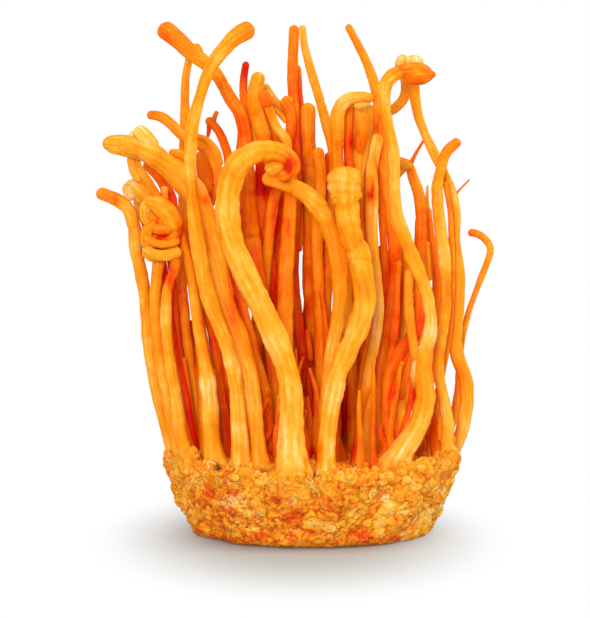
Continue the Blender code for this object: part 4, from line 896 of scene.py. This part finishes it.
def cake_outline():
    """(radius, height) from the top's middle over the rim, down the side and under to the base's middle."""
    inner = TOP_RADIUS - RIM_ROUND
    top = np.stack([np.linspace(0.15, inner, TOP_ROWS), np.full(TOP_ROWS, CAKE_HEIGHT - 0.4)], axis=1)
    bend = np.linspace(0, np.pi / 2, 8)[1:-1]
    rim = np.stack([inner + RIM_ROUND * np.sin(bend), CAKE_HEIGHT - 1.6 + RIM_ROUND * np.cos(bend)], axis=1)
    height = np.linspace(CAKE_HEIGHT - 1.6, EDGE_ROUND, SIDE_ROWS)
    radius = BASE_RADIUS + (TOP_RADIUS - BASE_RADIUS) * (1 - (1 - height / CAKE_HEIGHT) ** 1.6)
    side = np.stack([radius, height], axis=1)
    bend = np.linspace(0, np.pi / 2, 12)[1:]
    under = np.stack([radius[-1] - EDGE_ROUND * (1 - np.cos(bend)), EDGE_ROUND * (1 - np.sin(bend))], axis=1)
    base = np.stack([np.linspace(under[-1, 0] - 1.0, 0.3, BASE_ROWS), np.zeros(BASE_ROWS)], axis=1)
    return np.vstack([top, rim, side, under, base])


outline = cake_outline()
turn = np.linspace(0, 2 * np.pi, AROUND, endpoint=False)
slope = np.gradient(outline, axis=0)
out = unit(np.stack([-slope[:, 1], slope[:, 0]], axis=1))


def turned(profile, place=(0.0, 0.0)):
    """The outline's rows turned round the cake's axis: (rows, around, 3)."""
    return np.stack([place[0] + profile[:, :1] * np.cos(turn), place[1] + profile[:, :1] * np.sin(turn),
                     profile[:, 1:] + 0 * turn], axis=-1)


skin = turned(outline, CAKE_MIDDLE)
normal = turned(out)
GRAINS, GRAIN_SIZE, GAP_WIDTH = 1000, 2.6, 0.40
rng = np.random.default_rng(19)
girth = outline[:-BASE_ROWS, 0]
seed_row = rng.choice(len(girth), GRAINS, p=girth / girth.sum())
seed_turn = rng.uniform(0, 2 * np.pi, GRAINS)
seeds = np.stack([CAKE_MIDDLE[0] + outline[seed_row, 0] * np.cos(seed_turn),
                  CAKE_MIDDLE[1] + outline[seed_row, 0] * np.sin(seed_turn), outline[seed_row, 1]], axis=1)
axes = unit(rng.normal(size=(GRAINS, 3)))


def grain_cells(spots):
    """For each spot: its nearest grain, the distance to it and to the next one.

    The squared distance is lessened by 0.62 x (its part along the grain's axis)^2, which stretches the grain.
    """
    spots = spots + 0.7 * np.stack([waves(spots, 2.6, seed) for seed in (31, 32, 33)], axis=-1)
    gap = np.linalg.norm(spots[:, None] - seeds[None], axis=2)
    gap = np.sqrt(np.maximum(gap**2 - 0.62 * (spots @ axes.T - (seeds * axes).sum(axis=1)) ** 2, 0))
    order = np.argpartition(gap, 2, axis=1)[:, :2]
    near = np.take_along_axis(gap, order, axis=1)
    swap = near[:, 0] > near[:, 1]
    return np.where(swap, order[:, 1], order[:, 0]), near.min(axis=1), near.max(axis=1)


cells = [grain_cells(block) for block in np.array_split(skin.reshape(-1, 3), 60)]
nearest, first, second = (np.concatenate(part).reshape(skin.shape[:2]) for part in zip(*cells))
proud = rng.uniform(-1, 1, GRAINS)[nearest]
gap_depth = bell((second - first) / GAP_WIDTH)
crown = np.sqrt(np.clip(1 - (first / GRAIN_SIZE) ** 2, 0, 1))
foot_away = np.hypot(skin[..., :1] - tall_feet[:, 0], skin[..., 1:2] - tall_feet[:, 1]).min(axis=-1)
on_top = np.clip((skin[..., 2] - 11.5) / 4.5, 0, 1) ** 1.5
mound = on_top * 1.5 * bell(foot_away / 2.8)
creased = 1 - np.abs(waves(skin * (1, 1, 1.5), 3.2, 44))
rough = 0.50 * waves(skin, 9.0, 41) + 0.26 * waves(skin * (1, 1, 1.4), 3.2, 42) + 0.13 * waves(skin, 1.3, 43)
rough = rough - 0.35 * np.clip(creased - 0.6, 0, 1)
sunk = 0.55 * gap_depth * (0.4 + 0.6 * rng.uniform(0, 1, GRAINS)[nearest])
push = 0.26 * proud + 0.38 * crown - sunk + rough + mound
to_right = np.clip(np.cos(turn), 0, 1)
right_side = to_right[None] * np.clip(1 - skin[..., 2] / CAKE_HEIGHT, 0, 1)
level = np.clip(skin[..., 2] / 2.0, 0, 1)
push = np.where(skin[..., 2] < 0.02, 0, (push - 0.25) * (0.25 + 0.75 * level) - 1.1 * right_side * level)
push = push - 0.5 * to_right**2 * on_top
rim = bell((outline[:, :1] - 30.0) / 2.4) * on_top
rise = rim * (0.5 + np.where(np.cos(turn) > 0, 3.0, 2.0) * np.abs(np.cos(turn)) ** 3)
rise = rise * (0.9 + 0.5 * waves(skin, 4.0, 46)) + 0.35 * on_top * waves(skin, 2.0, 47)
skin = skin + normal * push[..., None]
skin[..., 2] = np.maximum(skin[..., 2] + rise, 0)


# The crust's colours: gold and ochre all over, paler on some grains, rust red in patches at the left and
# along the lower edge, small dark specks, and orange flesh on the top, where the fungus covers the grain.
# Painted shade darkens the gaps between the grains, and, near black, the pits by the stems' feet.
crust = Finish("grain_crust")
shade = crust.attribute("grain") * 0.40 + crust.noise(3.0, 5.0, 0.7) * 1.5 + crust.noise(0.9, 4.0, 0.7) - 1.00
colour = crust.ramp(shade, (
    (0.0, (0.46, 0.060, 0.003)), (0.20, (0.82, 0.19, 0.004)), (0.38, (0.93, 0.33, 0.010)),
    (0.57, (0.97, 0.45, 0.030)), (0.77, (0.97, 0.56, 0.12)), (1.0, (0.93, 0.69, 0.34))))
RUST, VEIN, GAP_SHADE = (0.78, 0.060, 0.002, 1), (0.74, 0.036, 0.003, 1), (0.44, 0.060, 0.003, 1)
CREAM, FINE_CRACK, SPECK = (0.93, 0.60, 0.20, 1), (0.20, 0.040, 0.004, 1), (0.10, 0.028, 0.006, 1)
TOP, PIT_SHADE = (0.97, 0.32, 0.012, 1), (0.13, 0.006, 0.002, 1)
SWIRL_SIZE, SWIRL_REACH = 1.2, 2.4
sockets = {"Vector": crust.place(), "Scale": 1 / (SWIRL_SIZE * MM), "Detail": 4.0}
swirl = crust.node("ShaderNodeTexNoise", {}, sockets, "Color")
sockets = {0: swirl, 1: (SWIRL_REACH * MM,) * 3, 2: crust.place()}
swirl = crust.node("ShaderNodeVectorMath", {"operation": "MULTIPLY_ADD"}, sockets)


def veins(size, width, share):
    """1 along the borders of a net with cells of about that size, in the share that noise picks."""
    net = crust.node("ShaderNodeTexVoronoi", {"feature": "DISTANCE_TO_EDGE"},
                     {"Vector": swirl, "Scale": 1 / (size * MM)}, "Distance")
    return crust.between(net, width, 0.0) * crust.between(share + crust.noise(size * 2.3, 3.0), 0.50, 0.62)


rust = crust.between(crust.attribute("rust") * 0.8 + crust.noise(1.5, 5.0, 0.75) * 1.2, 0.84, 1.00)
colour = crust.mix(rust * 0.85, colour, RUST)
colour = crust.mix(veins(3.2, 0.13, crust.attribute("rust") * 0.75 - 0.01) * 0.90, colour, VEIN)
# Painted shade: the gaps between the grains are darkened to dark brown.
gap_shade = crust.between(crust.attribute("gap") * crust.noise(2.4), 0.36, 0.66)
colour = crust.mix(gap_shade * 0.42, colour, GAP_SHADE)
cream = crust.between(crust.attribute("cream") * 0.6 + crust.noise(1.1, 5.0, 0.8), 0.74, 0.92)
colour = crust.mix(cream * 0.72, colour, CREAM)
fine_cracks = veins(1.7, 0.075, crust.attribute("cream") * 0.14 - 0.05)
colour = crust.mix(fine_cracks * 0.72, colour, FINE_CRACK)
specks = crust.between(crust.attribute("cream") * 0.05 + crust.noise(0.7, 2.0), 0.65, 0.70)
colour = crust.mix(specks * 0.9, colour, SPECK)
colour = crust.mix(crust.attribute("top") * crust.noise(1.8) * 1.1, colour, TOP)
# Painted shade: the pits by the stems' feet are darkened to near black.
colour = crust.mix(crust.attribute("pit") * (0.5 + crust.noise(1.2)), colour, PIT_SHADE)
crust.surface({"Base Color": colour, "Roughness": crust.noise(1.0) * 0.3 + 0.55, "Specular IOR Level": 0.16})
crust.bump(crust.noise(0.45, 4.0) * 0.8 + crust.noise(1.5) * 0.6 - fine_cracks * 0.4, 0.50, 0.8)
RUST_SPOTS = ((-23.1, 12.2), (-22.2, 4.5), (-17.6, 12.4), (-13.8, 2), (-11.6, 2.8), (-8.4, 12.2), (-7.2, 7.2),
              (-5.4, 7.4), (1, 9.9), (3.6, 3.3), (6, 2.6), (-12.7, 7.4), (-18.5, 7.6), (9, 2))
CREAM_SPOTS = ((-26.4, 13.6), (-13, 7.6), (-10.6, 14.5), (-2, 15.2), (-18, 15), (-20, 9.5), (-5.6, 11),
               (-16, 11))
PITS = (((-1.4, -26.0), (1.9, 4.0)), ((-21.0, -22.5), (1.3, 1.6)), ((12.0, -21.0), (2.4, 2.0)),
        ((-11.0, -25.0), (1.6, 1.6)), ((23.0, -15.0), (2.6, 1.8)))


def spots_on_front(middles, half):
    """The front's patches: the sum of patch over the middles (across, up), in the front half alone."""
    return sum(patch(skin[..., 0], skin[..., 2], middle, half) for middle in middles) * (skin[..., 1] < 0)


rusty = np.clip(0.34 * spots_on_front(RUST_SPOTS, (2.0, 1.7)), 0, 0.45) + 0.10 * waves(skin, 14.0, 45)
creamy = np.clip(spots_on_front(CREAM_SPOTS, (2.6, 1.8)), 0, 1) * 0.55 + 0.12 * waves(skin, 12.0, 48)
# Each grain's own random tone, with painted highlight on its crown and painted shade in the gaps round it.
grain_tone = rng.uniform(0.0, 1.0, GRAINS)[nearest] + 0.15 * crown - 0.2 * gap_depth
grain_tone = grain_tone + 0.25 * np.cos(turn - 0.6)[None]
pit = np.clip(sum(patch(skin[..., 0], skin[..., 1], middle, half) for middle, half in PITS), 0, 1) * on_top
skin[..., 2] -= 1.2 * pit
numbers = {"grain": grain_tone, "gap": gap_depth, "rust": rusty, "top": on_top, "pit": pit, "cream": creamy}
numbers = {key: values[:, ::-1] for key, values in numbers.items()}
ends = np.array([[*CAKE_MIDDLE, skin[0, :, 2].mean()], [*CAKE_MIDDLE, 0.0]])
cake = add_piece("cake_crust", skin[:, ::-1], ends, numbers, crust)
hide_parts("cake")


# What holds the stems in the cake: strands of the fungus that spread from the feet, over the rim and down the
# side, and crumbs of grain that lie between the feet and cling to the rim.
def on_skin(row, around):
    """The cake's skin at fractional rows and turns (0 to 1), by straight steps between the four points."""
    around = (around % 1) * skin.shape[1]
    low_row, low_turn = np.floor(row).astype(int), np.floor(around).astype(int)
    part_row, part_turn = (row - low_row)[..., None], (around - low_turn)[..., None]
    next_turn = (low_turn + 1) % skin.shape[1]
    upper, lower = (skin[at_row, low_turn] * (1 - part_turn) + skin[at_row, next_turn] * part_turn
                    for at_row in (low_row, low_row + 1))
    return upper * (1 - part_row) + lower * part_row


def tubes_along(lines, size, around, seed):
    """Many thin tubes at once, from lines (tubes, rings, 3) and sizes (tubes, rings).

    Each ring is line + (side x cos + other x sin) x size x (1 + 0.12 waves), square to the line.
    """
    along = np.gradient(lines, axis=1)
    side = unit(np.cross(along, lines - np.array([*CAKE_MIDDLE, 4.0])))
    other = unit(np.cross(side, along))
    angle = np.linspace(0, 2 * np.pi, around, endpoint=False)[:, None]
    reach = side[:, :, None] * np.cos(angle) + other[:, :, None] * np.sin(angle)
    spots = lines[:, :, None] + reach * size[:, :, None, None]
    return spots + reach * (0.12 * size[:, :, None, None] * waves(spots, 1.0, seed)[..., None])


STRANDS, STRAND_RINGS, STRAND_AROUND = 420, 10, 5
rng = np.random.default_rng(53)
step = np.linspace(0, 1, STRAND_RINGS)
begin = rng.uniform(34, 66, (STRANDS, 1))
row = begin + rng.uniform(6, 30, (STRANDS, 1)) * step
wander = rng.normal(0, 0.016, (STRANDS, 1)) * step + rng.normal(0, 0.006, (STRANDS, 1)) * np.sin(5 * step)
angle = rng.uniform(0, 1, (STRANDS, 1)) + wander + 0.003 * np.sin(11 * step + rng.uniform(0, 6, (STRANDS, 1)))
lines = on_skin(row, angle)
thickness = rng.uniform(0.10, 0.30, (STRANDS, 1)) * (1.2 - 0.85 * step)
rings = tubes_along(lines, thickness, STRAND_AROUND, 61)
ends = np.stack([lines[:, 0], lines[:, -1]], axis=1)
shade = rng.uniform(0.40, 0.88, (STRANDS, 1, 1)) + 0 * rings[..., 0]
add_flesh("strands", rings, ends, {"club": 0 * shade, "fibre": rings * 2}, shade, "amber")

CRUMBS, CRUMB_RINGS, CRUMB_AROUND = 460, 5, 7
row = rng.uniform(30, 74, (CRUMBS, 1))
lines = on_skin(row, rng.uniform(0, 1, (CRUMBS, 1)))
lines = lines + rng.normal(0, 0.12, (CRUMBS, 1, 3)) + (0, 0, 0.15)
wide = rng.uniform(0.35, 1.05, (CRUMBS, 1, 1)) ** 1.3
lift = np.linspace(0, np.pi, CRUMB_RINGS + 2)[1:-1]
lean = unit(rng.normal(size=(CRUMBS, 1, 3)))
spine = lines - lean * (np.cos(lift)[:, None] * wide * rng.uniform(0.8, 1.5, (CRUMBS, 1, 1)))
rings = tubes_along(spine, wide[..., 0] * np.sin(lift), CRUMB_AROUND, 62)
rings = rings + 0.16 * wide[..., None] * np.stack([waves(rings, 0.9, seed) for seed in (63, 64, 65)], axis=-1)
ends = [spine[:, last] + (spine[:, last] - spine[:, inner]) * 0.3 for last, inner in ((0, 1), (-1, -2))]
shade = rng.uniform(0.0, 1.0, (CRUMBS, 1, 1)) + 0 * rings[..., 0]
numbers = {key: 0 * shade for key in ("grain", "gap", "rust", "top", "pit", "cream")}
numbers["grain"], numbers["top"] = shade, 0.3 + 0 * shade
add_piece("crumbs", rings, np.stack(ends, axis=1), numbers, crust)
